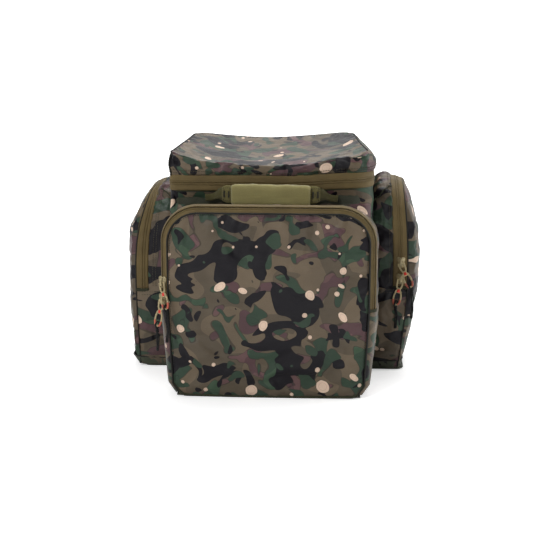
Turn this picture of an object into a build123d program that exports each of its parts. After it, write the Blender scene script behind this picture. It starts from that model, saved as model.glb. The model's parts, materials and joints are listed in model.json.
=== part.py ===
from build123d import *
import math
import os

# Tackle backpack: a boxy main compartment with a zipped lift-up lid, a zipped
# front pocket, a zipped pocket on each side, a front carry handle and, on the
# back, a padded panel, two shoulder straps and a grab handle.
# +X to the viewer's right, +Y towards the wearer's back, +Z up. Origin on the
# ground at the middle of the main compartment. Millimetres.

os.makedirs("parts", exist_ok=True)

SEAM = 0.1               # clearance between pieces that meet

# main compartment
MAIN_HALF_W = 150.0
MAIN_FRONT_Y = -98.0     # outer face of the front wall
MAIN_REAR_Y = 98.0       # outer face of the back wall
WALL = 4.0               # padded fabric wall
FLOOR = 3.0              # base sheet
BOARD_HALF_W = MAIN_HALF_W - WALL - 1
BOARD_HALF_D = MAIN_REAR_Y - WALL - 1
LINING_T = 0.8
LINING_TOP_Z = 288.5

# zips and lid
TAPE_HALF = 11.0         # visible width of one zip tape
TAPE_T = 1.2
ZIP_GAP = 0.75           # half the gap between the two zip halves
COIL_H = 2.4             # coil on the inner side of the tape
LID_ZIP_Z = 300.0        # centre line of the lid zip
LID_TOP_Z = 346.0
LID_ZIP_R = 9.0          # front corners of the lid zip
LID_ZIP_REAR_Y = 92.0
LID_END_Y = 44.0         # forward end of the lid zip's closed end section
BODY_TOP_Z = LID_ZIP_Z - TAPE_HALF
LID_BOTTOM_Z = LID_ZIP_Z + TAPE_HALF
ZIP_END_Z = 131.0        # lower end of the pocket zips
FOLD_Z = 184.3           # line on which a pocket flap folds
FOLD_GAP = 0.3
FLAP_BOTTOM_Z = FOLD_Z + FOLD_GAP
FOLD_BELOW_Z = FOLD_Z - FOLD_GAP

# front pocket
FRONT_FACE_Y = -190.0
FRONT_EDGE_Y = -182.0    # where the pocket side turns into the sloped zip band
FRONT_TURN_Y = -176.0    # forward edge of the pocket side, behind the zip tape
FRONT_BAND_W = 14.0      # width of the zip band, seen from the front
FRONT_COIL_INSET = 4.0   # zip centre line, in from the pocket's outline
FRONT_TAPE_T = 1.0
FRONT_HALF_W = 156.0     # at and above the end of the zip
FRONT_BASE_HALF_W = 147.0  # below the end of the zip it narrows to this
FRONT_TOP_Z = 285.0
FRONT_TOP_REAR_Z = 264.0  # top where it meets the front wall
FRONT_R = 56.0           # arch corners
FRONT_T = 3.0
FRONT_BOTTOM_Z = 4.4
FRONT_FOOT_Z = 18.0      # the foot is cut back below this
FRONT_FOOT_CUT = 12.0
PANEL_INSET = 19.0       # lower panel, in from the pocket's outline
FLAP_INSET = 16.6        # flap panel, likewise

# side pockets
SIDE_OUT_X = 227.0       # outermost face
SIDE_BASE_X = 204.0      # the same at the bottom
SIDE_BOTTOM_Z = 3.5
SIDE_FLARE_Z = 95.0      # height at which the outermost face is reached
SIDE_FRONT_Y = -48.0
SIDE_REAR_Y = 80.0
SIDE_TOP_Z = 286.0
SIDE_R = 50.0
SIDE_T = 3.0
SIDE_ROOT_X = MAIN_HALF_W + 0.6
SIDE_COIL_X = 194.5      # zip centre line
SIDE_TAPE_IN_X = 184.0
SIDE_TAPE_OUT_X = 205.0
# outer profile above the fold, after the zip tape: x, z
SIDE_CROWN = [(SIDE_TAPE_OUT_X + 8, 270), (SIDE_OUT_X - 3, 244), (SIDE_OUT_X, 222)]

# raised edge of the base
EDGE_TOP_Z = 20.0
EDGE_IN = 0.2            # inner and outer face, out from the bag
EDGE_OUT = 1.4


# ---- helpers ----
def box(x0, x1, y0, y1, z0, z1):
    centre = Pos((x0 + x1) / 2, (y0 + y1) / 2, (z0 + z1) / 2)
    return centre * Box(abs(x1 - x0), abs(y1 - y0), abs(z1 - z0))


def centred(half_w, y0, y1, z0, z1):
    return box(-half_w, half_w, y0, y1, z0, z1)


# Each places 2D points on a plane square to the named axis.
def at_x(x):
    return lambda a, b: (x, a, b)


def at_y(y):
    return lambda a, b: (a, y, b)


def at_z(z):
    return lambda a, b: (a, b, z)


def vectors(points, place):
    return [Vector(*place(a, b)) for a, b in points]


def flat(points, place):
    return Face(Wire.make_polygon(vectors(points, place), close=True))


def arch(points, radius, place):
    """A flat face with its middle two points rounded."""
    face = flat(points, place)
    middle = len(points) // 2
    targets = vectors(points[middle - 1:middle + 1], place)
    picked = [v for v in face.vertices()
              if any((Vector(v) - target).length < 1e-4 for target in targets)]
    return face.fillet_2d(radius, picked)


def symmetric(half):
    """Close a half outline with its reflection in the second axis."""
    return half + [(-a, b) for a, b in reversed(half)]


def prism(face, direction):
    return extrude(face, amount=Vector(*direction).length, dir=Vector(*direction))


def solids_of(shape):
    if isinstance(shape, (list, tuple)):
        return [solid for item in shape for solid in solids_of(item)]
    return list(shape.solids())


def save(name, *shapes):
    solids = solids_of(shapes)
    export_step(Compound(solids) if len(solids) > 1 else solids[0], f"parts/{name}.step")


def mirrored(shape):
    return [solid.mirror(Plane.YZ) for solid in solids_of(shape)]


def both(shape):
    return [shape, mirrored(shape)]


def save_pair(name, shape):
    """Save a right-hand piece and its left-hand mirror image."""
    save(f"right_{name}", shape)
    save(f"left_{name}", mirrored(shape))


def above(shape, z):
    return shape & box(-600, 600, -600, 600, z, 900)


def below(shape, z):
    return shape & box(-600, 600, -600, 600, -100, z)


# ---- main compartment ----
WALL_BOTTOM_Z = FLOOR + SEAM
save("main_front_wall",
     centred(MAIN_HALF_W, MAIN_FRONT_Y, MAIN_FRONT_Y + WALL, WALL_BOTTOM_Z, BODY_TOP_Z))
save("main_side_walls", both(box(
    MAIN_HALF_W - WALL, MAIN_HALF_W, MAIN_FRONT_Y + WALL + SEAM, MAIN_REAR_Y - WALL - SEAM,
    WALL_BOTTOM_Z, BODY_TOP_Z)))
save("main_back_wall",
     centred(MAIN_HALF_W, MAIN_REAR_Y - WALL, MAIN_REAR_Y, WALL_BOTTOM_Z, LID_ZIP_Z - 1))
save("base_board",
     centred(BOARD_HALF_W, -BOARD_HALF_D, BOARD_HALF_D, WALL_BOTTOM_Z, FLOOR + 5))
lining_half_d = BOARD_HALF_D + LINING_T
lining = centred(BOARD_HALF_W + LINING_T, -lining_half_d, lining_half_d,
                 FLOOR + 5.2, LINING_TOP_Z)
save("main_lining",
     lining - centred(BOARD_HALF_W, -BOARD_HALF_D, BOARD_HALF_D, FLOOR + 6, 300))
save("base_cover",
     centred(MAIN_HALF_W, MAIN_FRONT_Y, MAIN_REAR_Y, 0, FLOOR)
     + centred(SIDE_BASE_X, SIDE_FRONT_Y, SIDE_REAR_Y, 0, FLOOR))


# ---- raised edge of the base, a thin band around the foot of the bag ----
def edge_block(offset, z0, z1, x_in):
    """The foot of a side pocket grown by offset, following its flare."""
    flare = (SIDE_OUT_X - SIDE_BASE_X) / (SIDE_FLARE_Z - SIDE_BOTTOM_Z)
    x0, x1 = (SIDE_BASE_X + offset + flare * (z - SIDE_BOTTOM_Z) for z in (z0, z1))
    section = flat([(x_in, z0), (x0, z0), (x1, z1), (x_in, z1)], at_y(SIDE_FRONT_Y - offset))
    return prism(section, (0, SIDE_REAR_Y - SIDE_FRONT_Y + 2 * offset, 0))


def edge_strip(y0, y1):
    return box(MAIN_HALF_W + EDGE_IN, MAIN_HALF_W + EDGE_OUT, y0, y1,
               WALL_BOTTOM_Z, EDGE_TOP_Z)


side_edge = (edge_block(EDGE_OUT, WALL_BOTTOM_Z, EDGE_TOP_Z, MAIN_HALF_W + 0.3)
             - edge_block(EDGE_IN, 0, 30, MAIN_HALF_W - 5))
STRIP_GAP = EDGE_OUT + 0.4   # from the side pocket to a corner strip
save("base_edge_band",
     both(side_edge),
     both(edge_strip(MAIN_FRONT_Y, SIDE_FRONT_Y - STRIP_GAP)),
     both(edge_strip(SIDE_REAR_Y + STRIP_GAP, MAIN_REAR_Y)),
     centred(MAIN_HALF_W, MAIN_REAR_Y + SEAM, MAIN_REAR_Y + 1.0, WALL_BOTTOM_Z, EDGE_TOP_Z))


# ---- front pocket ----
def front_arch(y, inset, z_low, top=FRONT_TOP_Z):
    """The pocket's outline at y; z_low well under the zip end adds the foot points."""
    half_w = FRONT_HALF_W - inset
    base_w = FRONT_BASE_HALF_W - inset
    if z_low >= ZIP_END_Z - 0.5:
        half = [(-half_w, z_low)]
    else:
        foot_w = base_w - FRONT_FOOT_CUT * (FRONT_FOOT_Z - z_low) / FRONT_FOOT_Z
        half = [(-foot_w, z_low), (-base_w, FRONT_FOOT_Z), (-half_w, ZIP_END_Z)]
    return arch(symmetric(half + [(-half_w, top - inset)]), FRONT_R - inset, at_y(y))


BAND_D = FRONT_EDGE_Y - FRONT_FACE_Y
BAND_SLOPE = FRONT_BAND_W / BAND_D
BAND_LEN = math.hypot(FRONT_BAND_W, BAND_D)


def front_band(y_rear, y_front, depth, z_low):
    """A strip of the sloped zip band between two planes, cut in by depth."""
    def cone(ys, extra, z):
        return loft([front_arch(y, (FRONT_EDGE_Y - y) * BAND_SLOPE + extra, z) for y in ys],
                    ruled=True)
    return cone((y_rear, y_front), 0, z_low) - cone((y_rear + 0.5, y_front - 0.5),
                                                    depth, z_low - 0.01)


pocket_outer = loft([
    front_arch(FRONT_TURN_Y, 0, FRONT_BOTTOM_Z),
    front_arch(MAIN_FRONT_Y - 0.6, 0, FRONT_BOTTOM_Z, FRONT_TOP_REAR_Z)], ruled=True)
# The cut runs past both ends; its tops follow the slope of the roof.
pocket_inner = loft([
    front_arch(FRONT_TURN_Y - 1, FRONT_T, -2, FRONT_TOP_Z + 0.27),
    front_arch(MAIN_FRONT_Y + 0.4, FRONT_T, -2, FRONT_TOP_REAR_Z - 0.27)], ruled=True)
gusset = pocket_outer - pocket_inner
# Below the zip the gusset carries on forward in place of the tape.
side_rim = (prism(front_arch(FRONT_TURN_Y + 0.2, 0, FRONT_BOTTOM_Z),
                  (0, FRONT_EDGE_Y - FRONT_TURN_Y - 0.4, 0))
            - prism(front_arch(FRONT_TURN_Y + 1, FRONT_T, -2), (0, -12, 0)))
front_rim = front_band(FRONT_EDGE_Y + 0.1, FRONT_FACE_Y + 0.1, 5.0, FRONT_BOTTOM_Z)
gusset = gusset + below(side_rim, ZIP_END_Z - 0.2) + below(front_rim, ZIP_END_Z - 0.2)
save("front_pocket_gusset", gusset)
save("front_pocket_base", centred(132, -186, MAIN_FRONT_Y - 0.6, 0.0, 4.2))

panel_low_w = FRONT_BASE_HALF_W - PANEL_INSET
flap_half_w = FRONT_HALF_W - FLAP_INSET
panel = symmetric([
    (-panel_low_w + FRONT_FOOT_CUT, 1),
    (-panel_low_w, FRONT_FOOT_Z),
    (-(FRONT_HALF_W - PANEL_INSET), ZIP_END_Z),
    (-flap_half_w, ZIP_END_Z + 2),
    (-flap_half_w, FOLD_BELOW_Z),
])
save("front_pocket_lower_panel", prism(flat(panel, at_y(FRONT_FACE_Y)), (0, 3.8, 0)))
save("front_flap_panel",
     prism(front_arch(FRONT_FACE_Y, FLAP_INSET, FLAP_BOTTOM_Z), (0, 4.0, 0)))

# Inset that gives the tape its thickness square to the slope, and the Y part
# of that inset's run along the slope.
tape_inset = FRONT_TAPE_T * BAND_LEN / BAND_D
tape_shift = tape_inset * FRONT_BAND_W * BAND_D / BAND_LEN ** 2
front_coil_y = FRONT_EDGE_Y - FRONT_COIL_INSET / BAND_SLOPE
gap_y = ZIP_GAP * BAND_D / BAND_LEN
sloped_tape = front_band(FRONT_EDGE_Y, front_coil_y + gap_y + tape_shift,
                         tape_inset, ZIP_END_Z)
side_tape = (prism(front_arch(FRONT_TURN_Y - 0.1, 0, ZIP_END_Z),
                   (0, FRONT_EDGE_Y - FRONT_TURN_Y + 0.1, 0))
             - prism(front_arch(FRONT_TURN_Y + 1, FRONT_TAPE_T, ZIP_END_Z - 1), (0, -20, 0)))
save("front_zip_body_half", sloped_tape + side_tape)
front_flap_tape = front_band(front_coil_y - gap_y, FRONT_FACE_Y, tape_inset, ZIP_END_Z)
save("front_zip_flap_half", above(front_flap_tape, FLAP_BOTTOM_Z))
front_ends = below(front_flap_tape, FOLD_BELOW_Z)


# ---- side pockets, drawn on the right ----
def side_arch(x, inset, z_low):
    y0, y1, top = SIDE_FRONT_Y + inset, SIDE_REAR_Y - inset, SIDE_TOP_Z - inset
    return arch([(y0, z_low), (y0, top), (y1, top), (y1, z_low)], SIDE_R - inset, at_x(x))


def side_ring(x0, x1, thickness):
    z_low = ZIP_END_Z + 0.2
    return (prism(side_arch(x0, 0, z_low), (x1 - x0, 0, 0))
            - prism(side_arch(x0 - 1, thickness, z_low - 1), (x1 - x0 + 2, 0, 0)))


def side_dome(inset, root_x):
    """The bulge outside the zip, above the fold, shrunk by inset."""
    z_low = FLAP_BOTTOM_Z - inset
    profile = [(root_x, z_low), (root_x, SIDE_TOP_Z - inset)]
    profile += [(x - inset, z - inset) for x, z in SIDE_CROWN]
    profile += [(SIDE_OUT_X - inset, z_low)]
    body = prism(flat(profile, at_y(-150)), (0, 400, 0))
    return body & prism(side_arch(root_x, inset, z_low), (60, 0, 0))


def side_lower_shell():
    skin_x = SIDE_OUT_X - 3.7
    outer = [(SIDE_ROOT_X, SIDE_BOTTOM_Z), (SIDE_BASE_X, SIDE_BOTTOM_Z),
             (SIDE_OUT_X, SIDE_FLARE_Z), (SIDE_OUT_X, FOLD_BELOW_Z),
             (SIDE_TAPE_OUT_X, FOLD_BELOW_Z), (SIDE_TAPE_OUT_X, ZIP_END_Z),
             (SIDE_ROOT_X, ZIP_END_Z)]
    inner = [(MAIN_HALF_W - 1, 7), (SIDE_BASE_X - 3, 7), (skin_x, SIDE_FLARE_Z + 1),
             (skin_x, 300), (MAIN_HALF_W - 1, 300)]
    depth = SIDE_REAR_Y - SIDE_FRONT_Y
    return (prism(flat(outer, at_y(SIDE_FRONT_Y)), (0, depth, 0))
            - prism(flat(inner, at_y(SIDE_FRONT_Y + SIDE_T)), (0, depth - 2 * SIDE_T, 0)))


side_flap_tape = side_ring(SIDE_COIL_X + ZIP_GAP, SIDE_TAPE_OUT_X - SEAM, TAPE_T)
side_ends = below(side_flap_tape, FOLD_BELOW_Z)
save_pair("pocket_gusset", side_ring(SIDE_ROOT_X, SIDE_TAPE_IN_X, SIDE_T))
save_pair("pocket_lower_shell", side_lower_shell())
save_pair("zip_body_half", side_ring(SIDE_TAPE_IN_X + SEAM, SIDE_COIL_X - ZIP_GAP, TAPE_T))
save_pair("zip_flap_half", above(side_flap_tape, FLAP_BOTTOM_Z))
save_pair("flap_shell",
          side_dome(0, SIDE_TAPE_OUT_X) - side_dome(SIDE_T, SIDE_TAPE_OUT_X - 10))


# ---- lid ----
def lid_tape(z0, z1):
    """A U of zip tape round the front and sides of the bag."""
    def outline(inset, z):
        half_w = MAIN_HALF_W - inset
        half = [(-half_w, LID_ZIP_REAR_Y + inset), (-half_w, MAIN_FRONT_Y + inset)]
        return arch(symmetric(half), LID_ZIP_R - inset, at_z(z))
    return (prism(outline(0, z0), (0, 0, z1 - z0))
            - prism(outline(TAPE_T, z0 - 1), (0, 0, z1 - z0 + 2)))


save("lid_zip_body_half", lid_tape(BODY_TOP_Z + SEAM, LID_ZIP_Z - ZIP_GAP))
lid_upper_tape = lid_tape(LID_ZIP_Z + ZIP_GAP, LID_BOTTOM_Z)
save("lid_zip_half", lid_upper_tape - box(-400, 400, LID_END_Y, 400, 0, 900))
lid_ends = lid_upper_tape & box(-400, 400, LID_END_Y + 0.6, 400, 0, 900)
save("zip_closed_ends", front_ends, both(side_ends), lid_ends)

lid_wall = centred(MAIN_HALF_W, MAIN_FRONT_Y, MAIN_REAR_Y, LID_BOTTOM_Z + SEAM, LID_TOP_Z - 4)
lid_wall = lid_wall - centred(MAIN_HALF_W - WALL, MAIN_FRONT_Y + WALL, MAIN_REAR_Y - WALL,
                              0, 900)
# The back of the lid has no zip, so its wall comes down to the back wall.
lid_wall = lid_wall + centred(MAIN_HALF_W, MAIN_REAR_Y - WALL, MAIN_REAR_Y,
                              LID_ZIP_Z + 1, LID_BOTTOM_Z + 0.2)
save("lid_wall", lid_wall)
save("lid_top_panel",
     centred(MAIN_HALF_W, MAIN_FRONT_Y, MAIN_REAR_Y, LID_TOP_Z - 3.9, LID_TOP_Z))
save("lid_foam",
     centred(BOARD_HALF_W, -BOARD_HALF_D, BOARD_HALF_D, LID_TOP_Z - 10, LID_TOP_Z - 4))
save("lid_mesh_pocket", centred(140, -88, 88, LID_TOP_Z - 12, LID_TOP_Z - 11))

# ---- handles: a flat webbing loop held at both ends on a round pin ----
HANDLE_Z = 287.0
HANDLE_PIVOT_Y = -102.0
HANDLE_BOW_Y = -119.0
HANDLE_HALF_PIVOT = 84.0
REAR_Z = 270.0
REAR_PIVOT_Y = 102.5
REAR_BOW_Y = 119.5
REAR_HALF_PIVOT = 55.0
WEB_W = 25.0
WEB_T = 2.2
GRIP_HALF = 57.0
NECK_W = 4.4


def loop_handle(pivot_y, bow_y, z, half_band, half_pivot, outward):
    """outward is -1 for a loop bowed to -Y, 1 for +Y."""
    def level(height):
        return lambda a, b: (a, pivot_y + outward * b, height)

    bow = (bow_y - pivot_y) * outward
    end = 0.64 * bow
    half_t = WEB_T / 2
    path = [(-half_band, end), (-half_band + 14, bow), (half_band - 14, bow), (half_band, end)]
    outline = [(a, b + half_t) for a, b in path] + [(a, b - half_t) for a, b in reversed(path)]
    handle = prism(flat(outline, level(z - WEB_W / 2)), (0, 0, WEB_W))
    for side in (-1, 1):
        band_x, neck_x = side * (half_band - 1), side * (half_pivot - 2.5)
        neck = [(band_x, end + half_t), (neck_x, 1.2), (neck_x, -1.2), (band_x, end - half_t)]
        pin = Pos(side * (half_pivot - 1.5), pivot_y, z) * Rot(0, 90, 0) * Cylinder(1.8, 3.0)
        handle = handle + prism(flat(neck, level(z - NECK_W / 2)), (0, 0, NECK_W)) + pin
    return handle


save("handle_strap",
     loop_handle(HANDLE_PIVOT_Y, HANDLE_BOW_Y, HANDLE_Z, 71.0, HANDLE_HALF_PIVOT, -1))
grip_at = Pos(0, HANDLE_BOW_Y, HANDLE_Z)
grip = grip_at * Box(2 * (GRIP_HALF - 0.5), 8.0, 28.0)
grip = fillet(grip.edges().filter_by(Axis.X), 3.0)
save("handle_grip", grip - grip_at * Box(200, WEB_T + 0.3, WEB_W + 0.3))
save("handle_tabs", both(box(HANDLE_HALF_PIVOT + 0.4, 102, MAIN_FRONT_Y - 2.1,
                             MAIN_FRONT_Y - 0.1, HANDLE_Z - 20, BODY_TOP_Z - 0.5)))
save("rear_handle", loop_handle(REAR_PIVOT_Y, REAR_BOW_Y, REAR_Z, 42.0, REAR_HALF_PIVOT, 1))

# ---- back panel, yoke and tabs ----
TAB_Y = MAIN_REAR_Y + 0.2
pad = centred(118, MAIN_REAR_Y + 0.3, MAIN_REAR_Y + 11.7, 80, 230)
save("back_pad", fillet(pad.edges().filter_by(Axis.Y), 18))
save("strap_yoke", centred(95, TAB_Y, MAIN_REAR_Y + 2.6, 232, 256))
rear_tab = box(REAR_HALF_PIVOT + 0.4, 72, TAB_Y, MAIN_REAR_Y + 2.4, REAR_Z - 12, REAR_Z + 14)
low_tab = prism(flat([(118, 20.6), (146, 20.6), (146, 44)], at_y(TAB_Y)), (0, 2.0, 0))
save("strap_tabs", both(low_tab), both(rear_tab))
web_outline = [(127, 33), (136, 52), (109, 74), (99, 57)]   # x, z
save("lower_webbing", both(prism(flat(web_outline, at_y(MAIN_REAR_Y + 2.6)), (0, 1.8, 0))))

# ---- shoulder straps ----
# right strap seen from behind, top to bottom: centre x, z, width
STRAP_STATIONS = [
    (57, 247, 58), (63, 225, 60), (76, 180, 60),
    (88, 140, 56), (92, 112, 50), (92, 92, 46),
]
# faces of the strap seen from the side, three points on each arc: y, z
STRAP_INNER_ARC = [(104.5, 247.5), (121, 175), (113, 91)]
STRAP_OUTER_ARC = [(115.0, 247.5), (132.5, 175), (124, 91)]


def strip_face(make_edge, first, second):
    """The face between two curves, closed by a line across each end."""
    return Face(Wire([
        make_edge(first), Edge.make_line(first[-1], second[-1]),
        make_edge(second), Edge.make_line(second[0], first[0])]))


strap_sides = [vectors([(x + side * width / 2, z) for x, z, width in STRAP_STATIONS], at_y(90))
               for side in (-1, 1)]
blade = prism(strip_face(Edge.make_spline, *strap_sides), (0, 60, 0))
side_view = strip_face(lambda points: Edge.make_three_point_arc(*points),
                       vectors(STRAP_INNER_ARC, at_x(0)), vectors(STRAP_OUTER_ARC, at_x(0)))
save_pair("shoulder_strap", blade & prism(side_view, (160, 0, 0)))

lock = box(77, 107, 114, 120, 70, 91 - 0.6)
lock = fillet(lock.edges().filter_by(Axis.Y), 3.0)
for slot_z0, slot_z1 in ((84, 87.5), (77.5, 81), (72.2, 75.2)):
    lock = lock - box(79.2, 104.8, 100, 130, slot_z0, slot_z1)
save_pair("ladder_lock", lock)

# ---- zip sliders and pulls, drawn in a local frame ----
# local X across the tape, local Y along the zip, local Z out of the tape face
PLATE_T = 1.5            # slider top plate
PLATE_TOP_Z = 0.4 + PLATE_T
UNDER_Z = -(TAPE_T + COIL_H)   # inner side of the coil
PIN_Y = -1.2
PIN_Z = PLATE_TOP_Z + 1.6
PULL_T = 1.8
CORD_START_Y = -42.4
# left halves of the pull's outline and two windows, pin at the origin: x, y
PULL_OUTLINE = [(-5.0, 0.8), (-5.0, -10), (-4.3, -15), (-6.2, -24), (-6.2, -33), (-3.4, -39.5)]
PULL_WINDOWS = [
    [(-3.8, 2), (-3.8, -10)],
    [(-2.6, -17.5), (-4.7, -24.5), (-4.7, -32.5), (-2.6, -37.6)],
]


def zip_slider():
    top = Pos(0, 0, 0.4 + PLATE_T / 2) * Box(13, 17, PLATE_T)
    top = fillet(top.edges().filter_by(Axis.Z), 3.0)
    low = Pos(0, 0, UNDER_Z - 0.5 - 0.6) * Box(11, 15, 1.2)
    low = fillet(low.edges().filter_by(Axis.Z), 3.0)
    post_z0, post_z1 = UNDER_Z - 1.0, 0.8
    post = Pos(0, 5.2, (post_z0 + post_z1) / 2) * Box(0.9, 3.6, post_z1 - post_z0)
    foot = Box(3, 1.6, 3.4)
    feet = Pos(0, -4.9, PLATE_TOP_Z + 1.5) * foot + Pos(0, 4.9, PLATE_TOP_Z + 1.5) * foot
    bar = Pos(0, 0, PLATE_TOP_Z + 3.9) * Box(3, 11.4, 1.5)
    return top + low + post + feet + bar


def zip_pull(lean, out, cord_len):
    """Metal pull hanging towards local -Y from its pin, and its cord."""
    metal = prism(flat(symmetric(PULL_OUTLINE), at_z(-PULL_T / 2)), (0, 0, PULL_T))
    for window in PULL_WINDOWS:
        metal = metal - prism(flat(symmetric(window), at_z(-2)), (0, 0, 4))
    metal = metal + Rot(0, 90, 0) * Cylinder(0.95, 9.4)
    end = Vector(0, CORD_START_Y, 0).rotate(Axis.X, -out).rotate(Axis.Z, lean)
    cord = Pos(end.X, end.Y - cord_len / 2, end.Z) * Rot(90, 0, 0) * Cylinder(1.6, cord_len)
    return [Rot(0, 0, lean) * Rot(-out, 0, 0) * metal, cord]


UPPER_Z = 171.0          # parked height of the upper slider
PITCH = 26.0             # distance between the two parked sliders
LID_SLIDER_Y = 79.0      # rear slider of the lid zip
LID_CORD = 12
# name on a pocket, name on the lid, distance back along the zip,
# sideways lean, outward lean, cord length on a pocket
SLIDERS = [
    ("upper", "rear", 0, 24.0, 16.0, 46),
    ("lower", "front", PITCH, -10.0, 5.0, 34),
]
# zip: first slider's place, direction out of the tape, direction along the zip
ZIPS = {
    "front": ((-(FRONT_HALF_W - FRONT_COIL_INSET), front_coil_y, UPPER_Z),
              (-BAND_D / BAND_LEN, -FRONT_BAND_W / BAND_LEN, 0), (0, 0, 1)),
    "right": ((SIDE_COIL_X, SIDE_FRONT_Y, UPPER_Z), (0, -1, 0), (0, 0, 1)),
    "left": ((-SIDE_COIL_X, SIDE_REAR_Y, UPPER_Z), (0, 1, 0), (0, 0, 1)),
    "lid": ((-MAIN_HALF_W, LID_SLIDER_Y, LID_ZIP_Z), (-1, 0, 0), (0, 1, 0)),
}
slider = zip_slider()
for zip_name, (place, normal, along) in ZIPS.items():
    normal, along = Vector(*normal), Vector(*along)
    for pocket_label, lid_label, back, lean, out, cord_len in SLIDERS:
        on_lid = zip_name == "lid"
        label = lid_label if on_lid else pocket_label
        spot = Plane(origin=Vector(*place) - along * back,
                     x_dir=along.cross(normal), z_dir=normal).location
        pull = zip_pull(lean, out, LID_CORD if on_lid else cord_len)
        save(f"{zip_name}_slider_{label}", spot * slider)
        save(f"{zip_name}_pull_{label}",
             [spot * (Pos(0, PIN_Y, PIN_Z) * piece) for piece in pull])
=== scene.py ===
"""A camouflage backpack: a main body closed by a soft zipped lid, an arched front pocket, a pocket
on each side, a carry handle at the front, and a padded back with two shoulder straps.

The bag stands on z = 0 with +Z up. Its front faces -Y, and "right" is +X. Shapes are drawn in
millimetres and become metres when a mesh is made. Main sizes are read from the CAD frame.
"""
import bpy
import bmesh
import itertools
import json
import math
from collections import Counter
import numpy as np
from mathutils import Vector, Matrix
from mathutils.kdtree import KDTree


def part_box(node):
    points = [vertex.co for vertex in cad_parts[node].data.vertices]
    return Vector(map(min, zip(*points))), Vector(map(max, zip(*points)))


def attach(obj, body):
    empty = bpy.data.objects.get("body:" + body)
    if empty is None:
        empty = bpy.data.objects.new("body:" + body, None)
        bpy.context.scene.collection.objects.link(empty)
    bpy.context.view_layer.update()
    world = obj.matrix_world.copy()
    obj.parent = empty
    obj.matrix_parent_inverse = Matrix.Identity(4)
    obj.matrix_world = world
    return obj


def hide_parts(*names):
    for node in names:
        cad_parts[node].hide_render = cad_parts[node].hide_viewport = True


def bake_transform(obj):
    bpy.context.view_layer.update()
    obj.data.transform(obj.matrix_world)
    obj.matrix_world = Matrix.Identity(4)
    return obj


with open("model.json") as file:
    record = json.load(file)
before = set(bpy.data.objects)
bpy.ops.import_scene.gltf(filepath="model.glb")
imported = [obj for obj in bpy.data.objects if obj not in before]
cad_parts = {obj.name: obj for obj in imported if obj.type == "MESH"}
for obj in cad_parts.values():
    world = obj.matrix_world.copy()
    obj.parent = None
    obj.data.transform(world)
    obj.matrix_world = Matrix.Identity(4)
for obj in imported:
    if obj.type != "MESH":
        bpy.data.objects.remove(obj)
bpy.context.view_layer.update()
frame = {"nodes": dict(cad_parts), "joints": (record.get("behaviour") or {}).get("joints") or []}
MM = 0.001
JOINTS = {joint["name"]: joint for joint in frame["joints"]}
SIDE_NAME = {1: "right", -1: "left"}


# ------------------------------------------------------------------ places read from the frame
def span(node):
    """Lowest and highest corner of a CAD part, in millimetres."""
    low_corner, high_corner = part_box(node)
    return np.array(low_corner) / MM, np.array(high_corner) / MM


def low(node, axis):
    return span(node)[0]["xyz".index(axis)]


def high(node, axis):
    return span(node)[1]["xyz".index(axis)]


def joint_mm(name):
    return np.array(JOINTS[name]["pos_m"]) / MM


# main body and lid
MAIN_X = high("main_front_wall", "x")
MAIN_FRONT = low("main_front_wall", "y")
MAIN_REAR = high("main_back_wall", "y")
ZIP_LOW = low("lid_zip_body_half", "z")
ZIP_MID = (high("lid_zip_body_half", "z") + low("lid_zip_half", "z")) / 2
ZIP_HIGH = high("lid_zip_half", "z")
ZIP_SPLIT_Y = high("lid_zip_half", "y")        # behind this the lid zip stays closed
LID_TOP = high("lid_top_panel", "z")
BASE_X = high("base_cover", "x")
# front pocket
POCKET_X = high("front_pocket_gusset", "x")
POCKET_TOP = high("front_pocket_gusset", "z")
POCKET_FACE = low("front_pocket_lower_panel", "y")
FOLD_Z = joint_mm("front_flap_fold")[2]
ZIP_END = low("front_zip_body_half", "z")      # lower ends of the pocket zips
ARCH_R = 56.0
# side pockets
SIDE_X = high("right_pocket_lower_shell", "x")
SIDE_FRONT = low("right_pocket_lower_shell", "y")
SIDE_REAR = high("right_pocket_lower_shell", "y")
SIDE_TOP = high("right_pocket_gusset", "z")
TAPE_IN = low("right_zip_body_half", "x") - 0.1
TAPE_OUT = high("right_zip_flap_half", "x") + 0.1
SIDE_COIL = (high("right_zip_body_half", "x") + low("right_zip_flap_half", "x")) / 2
SIDE_R = 50.0
# handles
HALF_WEB = 1.1
HANDLE_Z = joint_mm("handle_lift")[2]
HANDLE_Y = low("handle_strap", "y") + HALF_WEB
GRAB_Z = joint_mm("rear_handle_lift")[2]
GRAB_Y = high("rear_handle", "y") - HALF_WEB


# ------------------------------------------------------------------ numbers and curves
def unit(vectors):
    return vectors / np.maximum(np.linalg.norm(vectors, axis=-1, keepdims=True), 1e-9)


def xyz(x, y, z):
    """Points from coordinates that broadcast against each other."""
    return np.stack(np.broadcast_arrays(x, y, z), -1)


def at_height(flat, z):
    return xyz(flat[..., 0], flat[..., 1], z)


def smooth(t):
    t = np.clip(t, 0, 1)
    return t * t * (3 - 2 * t)


def bell(x, width):
    return np.exp(-(x / width) ** 2)


def signed_power(x, power):
    return np.sign(x) * np.abs(x) ** power


def runs(*parts, closed=False):
    """Evenly spaced values over several (start, end, count) parts, the shared ends given once."""
    values = np.concatenate([np.linspace(*part)[:-1] for part in parts])
    return np.append(values, parts[-1][1]) if closed else values


def arc(centre_x, centre_y, radius, start, end, count=7):
    angle = np.radians(np.linspace(start, end, count))
    return np.stack([centre_x + radius * np.cos(angle), centre_y + radius * np.sin(angle)], 1)


def lengths(line):
    return np.concatenate([[0], np.cumsum(np.linalg.norm(np.diff(line, axis=0), axis=1))])


def sample(points, stations, where):
    """Points read off between the given ones, each of which stands at its station."""
    return np.stack([np.interp(where, stations, points[:, axis]) for axis in range(3)], -1)


def even_stations(line, step):
    total = lengths(line)[-1]
    return np.linspace(0, total, max(2, int(round(total / step)) + 1))


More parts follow.
